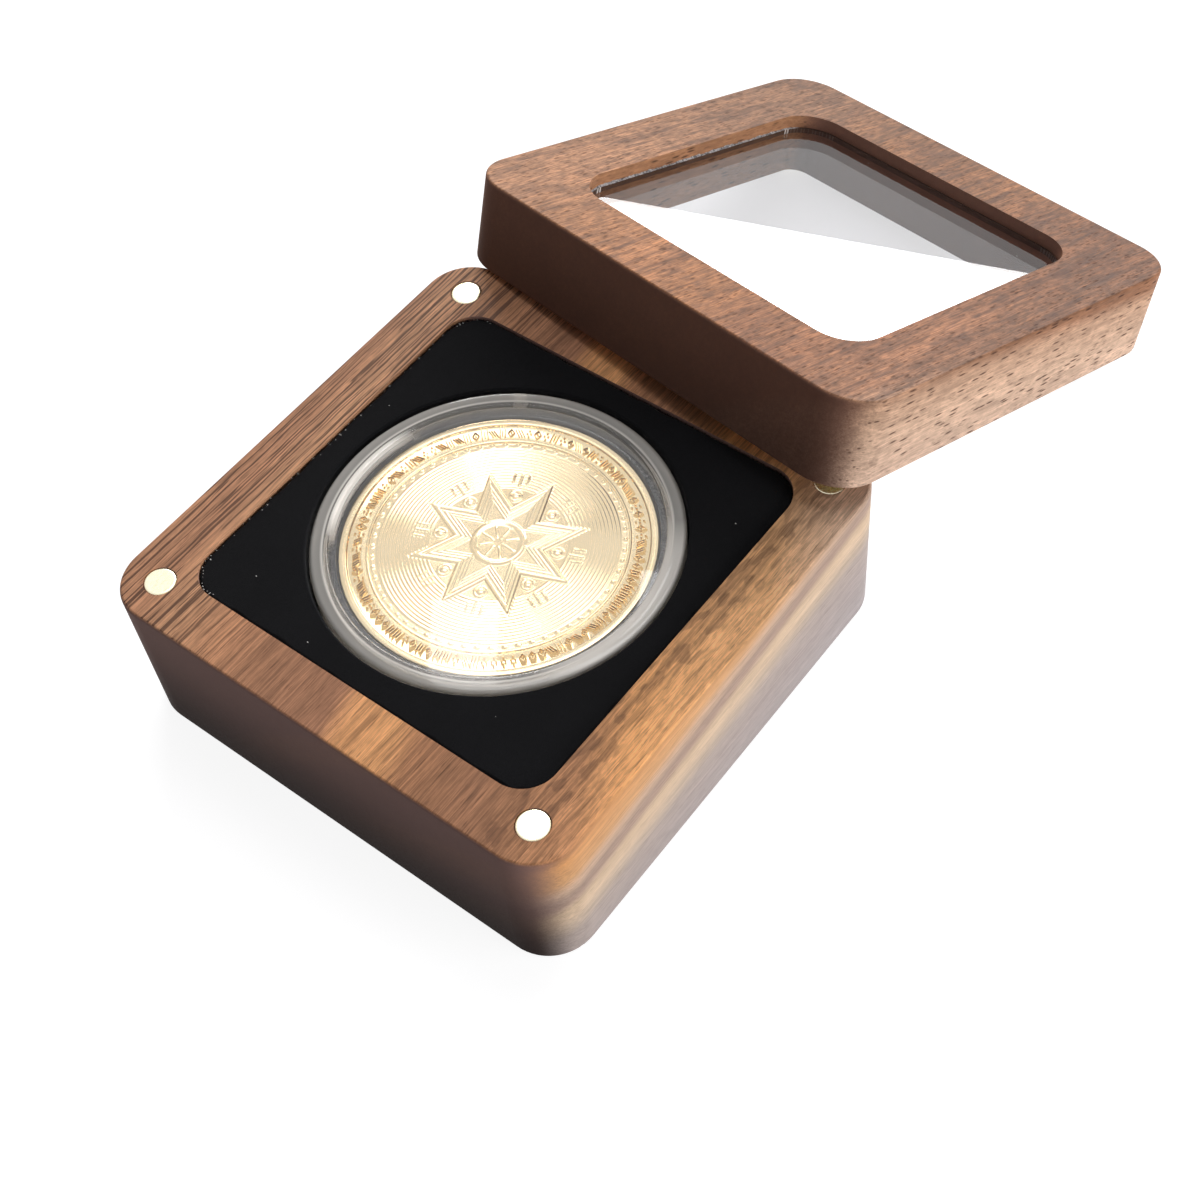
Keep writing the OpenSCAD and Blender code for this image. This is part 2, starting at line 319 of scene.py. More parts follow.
class Graph:
    """The nodes of one material, built by short calls that return sockets."""

    def __init__(self, name: str) -> None:
        """Starts a material that has one surface shader.

        Args:
            name: The material's name.
        """
        self.material = bpy.data.materials.new(name)
        self.material.use_nodes = True
        self.tree = self.material.node_tree
        self.tree.nodes.clear()
        self.shader = self.node("ShaderNodeBsdfPrincipled")
        out = self.node("ShaderNodeOutputMaterial")
        self.tree.links.new(self.shader.outputs[0], out.inputs["Surface"])

    def node(
        self, kind: str, inputs: dict[str | int, object] | None = None, **settings: object
    ) -> bpy.types.Node:
        """Adds one node.

        Args:
            kind: The node's type.
            inputs: Values or sockets for its inputs, by name or by number.
            **settings: The node's own settings.

        Returns:
            The new node.
        """
        made = self.tree.nodes.new(kind)
        for key, value in settings.items():
            setattr(made, key, value)
        for key, value in (inputs or {}).items():
            self.feed(made.inputs[key], value)
        return made

    def feed(self, target: Socket, value: object) -> None:
        """Gives an input its value.

        Args:
            target: The input.
            value: A socket to link to it, or a plain value to set on it.
        """
        if isinstance(value, bpy.types.NodeSocket):
            self.tree.links.new(value, target)
        else:
            target.default_value = value

    def surface(self, **inputs: object) -> None:
        """Sets inputs of the surface shader, such as base_color or roughness.

        Args:
            **inputs: Values or sockets, by the input's name in lower case.
        """
        names = {socket.name.lower().replace(" ", "_"): socket for socket in self.shader.inputs}
        for key, value in inputs.items():
            self.feed(names[key], value)

    def math(self, operation: str, *values: Value) -> Socket:
        """Does one sum and returns its result."""
        return self.node("ShaderNodeMath", dict(enumerate(values)), operation=operation).outputs[0]

    def vector(self, operation: str, *values: object) -> Socket:
        """Does one sum on vectors.

        Args:
            operation: The sum's name.
            *values: Its two terms.

        Returns:
            The result, a number for a length or a dot product.
        """
        made = self.node("ShaderNodeVectorMath", dict(enumerate(values)), operation=operation)
        return made.outputs["Value" if operation in ("LENGTH", "DOT_PRODUCT") else "Vector"]

    def scaled(self, vector: Socket, factor: Value) -> Socket:
        """Multiplies a vector or a colour by a number."""
        return self.node("ShaderNodeVectorMath", {0: vector, "Scale": factor}, operation="SCALE").outputs[0]

    def fade(self, value: Value, low: float, high: float, start: float = 0.0, end: float = 1.0) -> Socket:
        """Eases from one number to another.

        Args:
            value: What is read.
            low: Where the result begins to leave start.
            high: Where the result reaches end.
            start: The result below low.
            end: The result above high.

        Returns:
            The eased number.
        """
        inputs = {"Value": value, "From Min": low, "From Max": high, "To Min": start, "To Max": end}
        return self.node("ShaderNodeMapRange", inputs, interpolation_type="SMOOTHSTEP").outputs[0]

    def noise(self, place: Socket, scale: float = 1.0, detail: float = 2.0, roughness: float = 0.5) -> Socket:
        """Reads a cloudy noise from 0 to 1 at a place."""
        inputs = {"Vector": place, "Scale": scale, "Detail": detail, "Roughness": roughness}
        return self.node("ShaderNodeTexNoise", inputs).outputs[0]

    def stretched(self, place: Socket, factors: tuple[float, float, float]) -> Socket:
        """Multiplies the three coordinates of a place by three factors."""
        return self.vector("MULTIPLY", place, factors)

    def mix(self, share: Value, first: object, second: object, blend: str = "MIX") -> Socket:
        """Mixes two colours.

        Args:
            share: How much of the second there is, from 0 to 1.
            first: The first colour.
            second: The second colour.
            blend: How they are mixed.

        Returns:
            The mixed colour.
        """
        inputs = {0: share, 6: first, 7: second}
        made = self.node("ShaderNodeMix", inputs, data_type="RGBA", blend_type=blend)
        return made.outputs[2]

    def ramp(self, value: Socket, stops: tuple[tuple[float, Colour], ...]) -> Socket:
        """Reads a colour from a row of colours.

        Args:
            value: What is read, in the units of the stops.
            stops: Places and the colours there, in rising order.

        Returns:
            The colour.
        """
        first, last = stops[0][0], stops[-1][0]
        share = self.math("DIVIDE", self.math("SUBTRACT", value, first), last - first)
        made = self.node("ShaderNodeValToRGB", {0: share})
        row = made.color_ramp.elements
        while len(row) < len(stops):
            row.new(0.5)
        for element, (place, colour) in zip(row, stops):
            element.position = (place - first) / (last - first)
            element.color = linear(colour)
        return made.outputs[0]

    def bump(self, height: Value, depth_mm: float, strength: float = 1.0) -> None:
        """Presses a relief into the surface.

        Args:
            height: Height of the relief, from 0 to 1.
            depth_mm: Depth that a height of 1 stands for.
            strength: Share of the effect.
        """
        inputs = {"Height": height, "Distance": depth_mm * MM, "Strength": strength}
        self.surface(normal=self.node("ShaderNodeBump", inputs).outputs[0])

    def place_mm(self, lying: Matrix | None = None) -> Socket:
        """Place on the piece in millimetres.

        Args:
            lying: Where a turned piece lies, so that the place is read in its own frame.

        Returns:
            The place as a vector.
        """
        lying = lying or Matrix.Identity(4)
        inputs = {
            "Vector": self.node("ShaderNodeTexCoord").outputs["Object"],
            "Location": lying.translation,
            "Rotation": lying.to_euler(),
            "Scale": (MM, MM, MM),
        }
        return self.node("ShaderNodeMapping", inputs, vector_type="TEXTURE").outputs[0]


@dataclass(frozen=True)
class Pores:
    """Open pores of wood: slots along the grain, scattered one to a cell."""

    across_mm: float
    along_mm: float
    share: float
    strength: float
    slot: float = 0.26

    def mask(self, graph: Graph, place: Socket) -> Socket:
        """Where the pores are.

        Args:
            graph: The material's nodes.
            place: Place in millimetres, with the grain along Y.

        Returns:
            A number that is 0 beside the pores and strength inside them.
        """
        cell = (1.0 / self.across_mm, 1.0 / self.along_mm, 1.0 / self.across_mm)
        cells = graph.node("ShaderNodeTexVoronoi", {"Vector": graph.stretched(place, cell), "Scale": 1.0})
        inside = graph.fade(cells.outputs["Distance"], self.slot * 0.5, self.slot * 1.3, self.strength, 0.0)
        picked = graph.fade(cells.outputs["Color"], self.share - 0.04, self.share + 0.04, 1.0, 0.0)
        return graph.math("MULTIPLY", inside, picked)


@dataclass(frozen=True)
class Streaks:
    """Dark marks of the grain, drawn where a noise that is drawn out along it runs low.

    They come in between the first two places across the grain, and go between the last two,
    beyond which the share least of them is left.
    """

    across_mm: float
    along_mm: float
    share: float
    strength: float
    over_mm: tuple[float, float, float, float]
    least: float = 0.0

    def mask(self, graph: Graph, place: Socket, across: Socket) -> Socket:
        """Where the marks are.

        Args:
            graph: The material's nodes.
            place: Place in millimetres, with the grain along Y.
            across: The place's coordinate across the grain.

        Returns:
            A number that is 0 beside the marks and up to strength on them.
        """
        cell = (1.0 / self.across_mm, 1.0 / self.along_mm, 1.0 / self.across_mm)
        reading = graph.noise(graph.stretched(place, cell), detail=1.0, roughness=0.4)
        mark = graph.fade(reading, self.share - 0.04, self.share + 0.04, self.strength, 0.0)
        here = graph.math(
            "MULTIPLY",
            graph.fade(across, *self.over_mm[:2]),
            graph.fade(across, *self.over_mm[2:], 1.0, 0.0),
        )
        return graph.math("MULTIPLY", mark, graph.fade(here, 0.0, 1.0, self.least, 1.0))


@dataclass(frozen=True)
class Walnut:
    """Oiled walnut, cut from a log whose heart runs along the Y axis of the piece.

    The growth bands are rings about the heart, so they show as long bands on the faces along
    the grain and as arcs on the end grain.
    """

    name: str
    bands: tuple[tuple[float, Colour], ...]
    heart_x_mm: float
    heart_z_mm: float
    heart_rise: float
    pores: tuple[Pores, ...]
    side_pores: Pores
    streaks: tuple[Streaks, ...]
    thickness_mm: float
    lying: Matrix | None = None
    flame: float = 0.2
    mottle: float = 0.15
    fibre: float = 0.42
    side_calm: float = 0.65
    pale_x_mm: tuple[float, float] = (27.0, 32.0)
    pale_gain: float = 1.45
    far_tone: float = 1.0
    # Painted light: the level of the side faces, set apart from the top's.
    painted_side_light: float = 1.0
    end_tone: Colour = (168, 134, 128)
    # Painted shade: the share of the end grain's colour that is left at the underside.
    painted_foot_shade: float = 0.12
    pore_colour: Colour = (70, 44, 34)
    gloss: float = 0.2
    wander_mm: float = 0.22
    pore_depth_mm: float = 0.06

    def material(self) -> bpy.types.Material:
        """Builds the wood's material."""
        graph = Graph(self.name)
        place = graph.place_mm(self.lying)
        drift = graph.node(
            "ShaderNodeTexNoise", {"Vector": graph.stretched(place, (0.07, 0.025, 0.07)), "Detail": 2.0}
        )
        astray = graph.vector("SUBTRACT", drift.outputs["Color"], (0.5, 0.5, 0.5))
        wood = graph.vector("ADD", place, graph.scaled(astray, 2.0 * self.wander_mm))
        across, along, up = graph.node("ShaderNodeSeparateXYZ", {0: place}).outputs
        end, side = self._facing(graph, (0.0, 1.0, 0.0)), self._facing(graph, (1.0, 0.0, 0.0))
        bands = self._banded(graph, wood)
        calm = graph.math("MULTIPLY", side, self.side_calm)
        colour = graph.mix(calm, self._figured(graph, wood, bands), bands)
        pale = graph.math("MULTIPLY", graph.fade(across, *self.pale_x_mm), graph.math("SUBTRACT", 1.0, side))
        colour = graph.scaled(colour, graph.fade(pale, 0.0, 1.0, 1.0, self.pale_gain))
        # The top eases along the grain towards far_tone. The side faces take a level of their own instead, as
        # painted light that sets them apart from the top.
        tone = graph.fade(along, -30.0, 30.0, 1.0, self.far_tone)
        tone = graph.math(
            "ADD", tone, graph.math("MULTIPLY", side, graph.math("SUBTRACT", self.painted_side_light, tone))
        )
        colour = graph.scaled(colour, tone)
        shown = graph.math("MULTIPLY", graph.math("SUBTRACT", 1.0, calm), graph.fade(end, 0.0, 1.0, 1.0, 0.1))
        for streaks in self.streaks:
            share = graph.math("MULTIPLY", streaks.mask(graph, wood, across), shown)
            colour = graph.mix(share, colour, linear(self.pore_colour))
        open_pores = graph.math("MULTIPLY", self.side_pores.mask(graph, wood), side)
        for pores in self.pores:
            open_pores = graph.math(
                "MAXIMUM", open_pores, graph.math("MULTIPLY", pores.mask(graph, wood), shown)
            )
        colour = graph.mix(open_pores, colour, linear(self.pore_colour))
        soaked_and_shaded = graph.mix(0.8, graph.scaled(colour, 0.4), linear(self.end_tone))
        # Painted shade: the end grain darkens towards the underside of the piece.
        soaked_and_shaded = graph.scaled(soaked_and_shaded, graph.fade(up, 0.0, self.thickness_mm, self.painted_foot_shade, 1.0))
        colour = graph.mix(end, colour, soaked_and_shaded)
        fibre = graph.noise(graph.stretched(wood, (6.5, 0.3, 6.5)), detail=3.0, roughness=0.6)
        height = graph.math("SUBTRACT", graph.math("MULTIPLY", fibre, 0.25), open_pores)
        graph.bump(height, self.pore_depth_mm, 0.5)
        rough = graph.math(
            "ADD", graph.math("MULTIPLY", open_pores, 0.25), graph.fade(fibre, 0.2, 0.8, 0.48, 0.6)
        )
        graph.surface(
            base_color=colour,
            roughness=rough,
            specular_ior_level=graph.fade(end, 0.0, 1.0, self.gloss, 0.1 * self.gloss),
        )
        return graph.material

    def _banded(self, graph: Graph, wood: Socket) -> Socket:
        """Colour of the growth bands.

        Args:
            graph: The material's nodes.
            wood: Place in the wood, in millimetres.

        Returns:
            The colour, read by the distance from the heart.
        """
        part = graph.node("ShaderNodeSeparateXYZ", {0: wood})
        across = graph.math("SUBTRACT", part.outputs[0], self.heart_x_mm)
        rise = graph.math("MULTIPLY", part.outputs[1], self.heart_rise)
        up = graph.math("SUBTRACT", graph.math("SUBTRACT", part.outputs[2], self.heart_z_mm), rise)
        squares = graph.math("ADD", graph.math("MULTIPLY", across, across), graph.math("MULTIPLY", up, up))
        return graph.ramp(graph.math("SQRT", squares), self.bands)

    def _figured(self, graph: Graph, wood: Socket, colour: Socket) -> Socket:
        """Adds the flame and the fine streaks of the grain.

        Args:
            graph: The material's nodes.
            wood: Place in the wood, in millimetres.
            colour: The colour of the growth bands.

        Returns:
            The colour with its figure.
        """
        for across, along, depth in (
            (0.3, 0.07, self.flame),
            (1.3, 0.03, 0.25),
            (1.8, 0.65, self.mottle),
            (6.0, 0.22, self.fibre),
        ):
            reading = graph.noise(graph.stretched(wood, (across, along, across)), detail=3.0, roughness=0.6)
            tone = graph.fade(reading, 0.3, 0.7, 1.0 - 0.6 * depth, 1.0 + 0.5 * depth)
            colour = graph.scaled(colour, tone)
        return colour

    def _facing(self, graph: Graph, way: tuple[float, float, float]) -> Socket:
        """How much a face looks along one axis of the piece.

        Args:
            graph: The material's nodes.
            way: The axis, in the piece's own frame.

        Returns:
            A number from 0 to 1.
        """
        axis = Vector(way)
        if self.lying:
            axis = self.lying.to_3x3() @ axis
        facing = graph.vector(
            "DOT_PRODUCT", graph.node("ShaderNodeNewGeometry").outputs["Normal"], tuple(axis)
        )
        return graph.fade(graph.math("ABSOLUTE", facing), 0.35, 0.95)


@dataclass(frozen=True)
class Flock:
    """Short black pile glued on a soft board."""

    name: str = "black_flock"
    colour: Colour = (15, 15, 17)
    # Colour of the raised pile: a painted sheen on its tips, stronger over brushed wear.
    worn: Colour = (27, 27, 30)
    pile_mm: float = 0.12

    def material(self) -> bpy.types.Material:
        """Builds the pile's material."""
        graph = Graph(self.name)
        place = graph.place_mm()
        pile = graph.noise(place, scale=1.0 / self.pile_mm, detail=2.0, roughness=0.7)
        brushed = graph.noise(place, scale=0.11, detail=3.0)
        # Painted light and shade: the pile is lighter where it stands high and darker where it sinks, more so
        # over brushed patches of wear.
        shade = graph.math("MULTIPLY", graph.fade(pile, 0.3, 0.75), graph.fade(brushed, 0.25, 0.8, 0.35, 1.0))
        graph.surface(
            base_color=graph.mix(shade, linear(self.colour), linear(self.worn)),
            roughness=0.96,
            specular_ior_level=0.05,
            sheen_weight=0.04,
            sheen_roughness=0.6,
        )
        graph.bump(pile, self.pile_mm, 0.7)
        return graph.material


@dataclass(frozen=True)
class Foam:
    """Dark closed-cell foam board."""

    name: str = "dark_foam"
    colour: Colour = (42, 42, 44)
    cell_shade: Colour = (24, 24, 26)
    cell_mm: float = 0.35

    def material(self) -> bpy.types.Material:
        """Builds the foam's material."""
        graph = Graph(self.name)
        inputs = {"Vector": graph.place_mm(), "Scale": 1.0 / self.cell_mm}
        cells = graph.node("ShaderNodeTexVoronoi", inputs).outputs["Distance"]
        # Painted shade: the colour darkens into the hollows of the cells, where the bump sinks.
        wall = graph.fade(cells, 0.25, 0.65)
        graph.surface(
            base_color=graph.mix(wall, linear(self.cell_shade), linear(self.colour)),
            roughness=0.9,
            specular_ior_level=0.25,
        )
        graph.bump(wall, self.cell_mm / 2.0, 0.6)
        return graph.material


@dataclass(frozen=True)
class ClearPlastic:
    """Clear moulded or sheet plastic, with the fine rub marks of handling.

    Moulded walls that are seen edge on scatter light and look milky, which the rings stand for, as pairs
    of radius and milkiness; the rings also paint in, as painted reflection, the brightness that the walls
    take from the white surroundings. A gleam is a painted highlight, a whitened arc of a wall, given by
    its bearing, half of its width in degrees, its two radii and its milkiness.
    """

    name: str
    tint: Colour = (250, 250, 252)
    milky_and_painted_light: Colour = (250, 244, 236)
    rings: tuple[tuple[float, float], ...] = ()
    painted_gleams: tuple[tuple[float, float, float, float, float], ...] = ()
    rubbed: float = 0.05
    polish: float = 0.015
    lying: Matrix | None = None
    glued_rim_shade: Colour | None = None

    def material(self) -> bpy.types.Material:
        """Builds the plastic's material.

        The rim of a pane that is glued in is dull and opaque. It is painted with the colour of the
        shaded wall behind it, as painted shade, but for the two sides across its x axis, which are
        painted milky, as a painted glint.
        """
        graph = Graph(self.name)
        place = graph.place_mm(self.lying)
        rub = graph.noise(graph.stretched(place, (0.8, 1.6, 0.8)), detail=4.0, roughness=0.7)
        cloud = graph.noise(place, scale=0.18, detail=3.0)
        worn = graph.math("MULTIPLY", graph.fade(rub, 0.5, 0.8), graph.fade(cloud, 0.4, 0.75))
        # Milkiness, partly real and partly painted reflection, with painted highlights on the gleams' arcs.
        haze_and_highlights = self._haze_and_highlights(graph, place)
        clear = graph.mix(worn, linear(self.tint), linear(tuple(c - 8 for c in self.tint)))
        colour = graph.mix(graph.fade(haze_and_highlights, 0.0, 0.1), clear, linear(self.milky_and_painted_light))
        rough = graph.fade(worn, 0.0, 1.0, self.polish, self.rubbed)
        through = graph.math("SUBTRACT", 1.0, haze_and_highlights)
        if self.glued_rim_shade:
            normal = graph.node("ShaderNodeNewGeometry").outputs["Normal"]
            x_way, _, up = (tuple(axis) for axis in self.lying.to_3x3().transposed())
            level = graph.fade(graph.math("ABSOLUTE", graph.vector("DOT_PRODUCT", normal, up)), 0.4, 0.8)
            left = graph.fade(graph.math("ABSOLUTE", graph.vector("DOT_PRODUCT", normal, x_way)), 0.97, 0.995)
            # Painted shade on the rim, but for a painted milky glint on the sides across x.
            rim = graph.mix(left, linear(self.glued_rim_shade), linear(self.milky_and_painted_light))
            colour = graph.mix(level, rim, colour)
            rough = graph.math("MAXIMUM", rough, graph.fade(level, 0.0, 1.0, 0.7, 0.0))
            through = graph.math("MULTIPLY", through, level)
        graph.surface(base_color=colour, roughness=rough, ior=1.49, transmission_weight=through)
        return graph.material

    def _haze_and_highlights(self, graph: Graph, place: Socket) -> Socket:
        """How milky the plastic is.

        Args:
            graph: The material's nodes.
            place: Place in millimetres.

        Returns:
            A number that eases from ring to ring with the distance from the Z axis, and rises on the
            arcs of the gleams, which are painted highlights.
        """
        haze_and_highlights = graph.math("ADD", 0.0, 0.0)
        radius = graph.vector("LENGTH", graph.stretched(place, (1.0, 1.0, 0.0)))
        for (near, low), (far, high) in zip(self.rings, self.rings[1:]):
            haze_and_highlights = graph.math("ADD", haze_and_highlights, graph.fade(radius, near, far, 0.0, high - low))
        # Painted highlights: each gleam whitens an arc of a wall.
        for bearing, half, near, far, milky_and_painted_light in self.painted_gleams:
            way = (math.cos(math.radians(bearing)), math.sin(math.radians(bearing)), 0.0)
            share = graph.math("DIVIDE", graph.vector("DOT_PRODUCT", place, way), radius)
            arc = graph.fade(share, math.cos(math.radians(half)), math.cos(math.radians(0.4 * half)))
            ring = graph.math(
                "MULTIPLY",
                graph.fade(radius, near - 0.1, near + 0.1),
                graph.fade(radius, far - 0.1, far + 0.1, 1.0, 0.0),
            )
            haze_and_highlights = graph.math(
                "MAXIMUM", haze_and_highlights, graph.math("MULTIPLY", graph.math("MULTIPLY", arc, ring), milky_and_painted_light)
            )
        return haze_and_highlights


@dataclass(frozen=True)
class Bond:
    """Clear glue, with a rough skin where it was squeezed out beside the pane. Near the lid's left
    side, on top of the pane, the skin is painted silvery as a painted glint; elsewhere the glue is
    painted dark, opaque and dull, as painted shade of the wall behind it.
    """

    lying: Matrix
    glint_x_mm: tuple[float, float]
    glint_z_mm: float
    name: str = "silvery_bond"
    colour: Colour = (236, 236, 240)
    painted_wall_shade: Colour = (62, 44, 38)
    ripple_mm: float = 0.4

    def material(self) -> bpy.types.Material:
        """Builds the glue's material."""
        graph = Graph(self.name)
        place = graph.place_mm(self.lying)
        ripple = graph.noise(place, scale=1.0 / self.ripple_mm, detail=4.0, roughness=0.65)
        across, _, up = graph.node("ShaderNodeSeparateXYZ", {0: place}).outputs
        # Painted glint: silvery only near the lid's left side and above the pane; elsewhere the painted shade
        # of the wall.
        silver_glint = graph.fade(across, *self.glint_x_mm, 1.0, 0.0)
        silver_glint = graph.math("MULTIPLY", silver_glint, graph.fade(up, self.glint_z_mm - 0.1, self.glint_z_mm))
        skin = graph.mix(
            graph.fade(ripple, 0.35, 0.65),
            linear(self.colour),
            linear(tuple(c - 120 for c in self.colour)),
        )
        graph.surface(
            base_color=graph.mix(silver_glint, linear(self.painted_wall_shade), skin),
            roughness=graph.fade(silver_glint, 0.0, 1.0, 0.75, 0.2),
            specular_ior_level=graph.fade(silver_glint, 0.0, 1.0, 0.1, 0.5),
            ior=1.49,
            transmission_weight=graph.fade(silver_glint, 0.0, 1.0, 0.0, 0.25),
        )
        graph.bump(graph.math("MULTIPLY", ripple, silver_glint), self.ripple_mm, 0.8)
        return graph.material


@dataclass(frozen=True)
class Gold:
    """Pale gold plate: polished, and frosted where the mesh's attribute frost is 1."""

    name: str = "pale_gold_plate"
    colour: Colour = (243, 222, 181)
    deep: Colour = (238, 215, 171)
    frosted: Colour = (228, 207, 168)

    def material(self) -> bpy.types.Material:
        """Builds the plate's material."""
        graph = Graph(self.name)
        place = graph.place_mm()
        frost = graph.node("ShaderNodeAttribute", attribute_name="frost").outputs["Fac"]
        tone = graph.noise(place, scale=0.12, detail=2.0)
        grain = graph.noise(place, scale=8.0, detail=3.0, roughness=0.7)
        plate = graph.mix(graph.fade(tone, 0.3, 0.75), linear(self.colour), linear(self.deep))
        rough = graph.fade(grain, 0.3, 0.7, 0.07, 0.12)
        graph.surface(
            base_color=graph.mix(frost, plate, linear(self.frosted)),
            metallic=1.0,
            roughness=graph.math("ADD", rough, graph.math("MULTIPLY", frost, 0.15)),
        )
        graph.bump(grain, 0.01, 0.5)
        return graph.material


@dataclass(frozen=True)
class Nickel:
    """Nickel plate on a small magnet, a little yellowed and scuffed."""

    name: str = "nickel_plate"
    colour: Colour = (244, 238, 208)
    scuff: Colour = (222, 212, 184)

    def material(self) -> bpy.types.Material:
        """Builds the plate's material."""
        graph = Graph(self.name)
        place = graph.place_mm()
        scuffs = graph.noise(graph.stretched(place, (2.6, 1.1, 1.0)), detail=5.0, roughness=0.7)
        graph.surface(
            base_color=graph.mix(graph.fade(scuffs, 0.56, 0.72), linear(self.colour), linear(self.scuff)),
            metallic=1.0,
            roughness=graph.fade(scuffs, 0.3, 0.8, 0.22, 0.4),
        )
        graph.bump(scuffs, 0.02, 0.3)
        return graph.material


@dataclass(frozen=True)
class Lint:
    """Pale dust and lint."""

    name: str = "pale_lint"
    colour: Colour = (232, 232, 230)
    dull: Colour = (176, 172, 168)

    def material(self) -> bpy.types.Material:
        """Builds the dust's material."""
        graph = Graph(self.name)
        cloud = graph.noise(graph.place_mm(), scale=6.0, detail=2.0)
        graph.surface(base_color=graph.mix(cloud, linear(self.colour), linear(self.dull)), roughness=0.9)
        return graph.material


# Sub-assemblies


def dress(piece: bpy.types.Object, material: bpy.types.Material) -> None:
    """Gives a piece, or a node of the construction model, one material.

    Args:
        piece: The object.
        material: Its material.
    """
    piece.data.materials.clear()
    piece.data.materials.append(material)


def settle(
    piece: bpy.types.Object,
    body: str,
    material: bpy.types.Material,
    stands_for: tuple[str, ...] = (),
) -> None:
    """Finishes a new piece: its material, the body it rides on and the nodes it stands for.

    Args:
        piece: The new piece.
        body: Name of the body that carries it.
        material: Its material.
        stands_for: Nodes of the construction model that it replaces.
    """
    dress(piece, material)
    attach(piece, body)
    if stands_for:
        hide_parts(*stands_for)
    log.info("%s: %d faces, rides on %s", piece.name, len(piece.data.polygons), body)


CORNERS = ("front_left", "front_right", "back_right", "back_left")


@dataclass
class WalnutBase:
    """The milled block with its four magnets."""

    bands: tuple[tuple[float, Colour], ...] = (
        (36.0, (176, 166, 166)),
        (44.0, (178, 164, 160)),
        (48.0, (182, 166, 158)),
        (50.2, (202, 180, 160)),
        (52.0, (222, 194, 166)),
        (53.6, (216, 188, 158)),
        (55.2, (178, 150, 134)),
        (56.4, (172, 146, 130)),
        (58.0, (206, 172, 146)),
        (60.0, (216, 164, 116)),
        (63.6, (222, 160, 104)),
        (65.2, (180, 128, 90)),
        (68.6, (164, 116, 86)),
        (72.2, (190, 134, 96)),
        (73.8, (238, 172, 116)),
        (76.6, (234, 168, 114)),
        (78.2, (176, 125, 95)),
        (83.0, (182, 130, 98)),
        (89.0, (194, 139, 103)),
        (94.0, (212, 158, 120)),
        (97.0, (190, 137, 104)),
        (102.0, (192, 140, 107)),
    )
    wood: Walnut = field(init=False)

    def __post_init__(self) -> None:
        """Sets the cut of the wood."""
        self.wood = Walnut(
            name="walnut_base_oiled",
            bands=self.bands,
            heart_x_mm=45.0,
            heart_z_mm=-38.0,
            heart_rise=0.145,
            pores=(Pores(0.36, 6.0, 0.35, 0.45, 0.24), Pores(0.3, 2.2, 0.3, 0.35, 0.25)),
            side_pores=Pores(0.5, 3.0, 0.1, 0.15, 0.22),
            streaks=(
                Streaks(0.3, 60.0, 0.44, 0.8, (-60.0, -50.0, -26.0, -8.0), 0.3),
                Streaks(1.1, 3.0, 0.45, 0.36, (22.0, 26.0, 28.5, 32.0)),
                Streaks(0.45, 1.4, 0.42, 0.16, (22.0, 26.0, 50.0, 60.0)),
            ),
            thickness_mm=22.0,
        )

    def build(self) -> None:
        """Dresses the block and its magnets."""
        dress(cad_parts["base_block"], self.wood.material())
        nickel = Nickel().material()
        for corner in CORNERS:
            dress(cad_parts[f"base_magnet_{corner}"], nickel)
        log.info("base: walnut block and four magnets dressed")


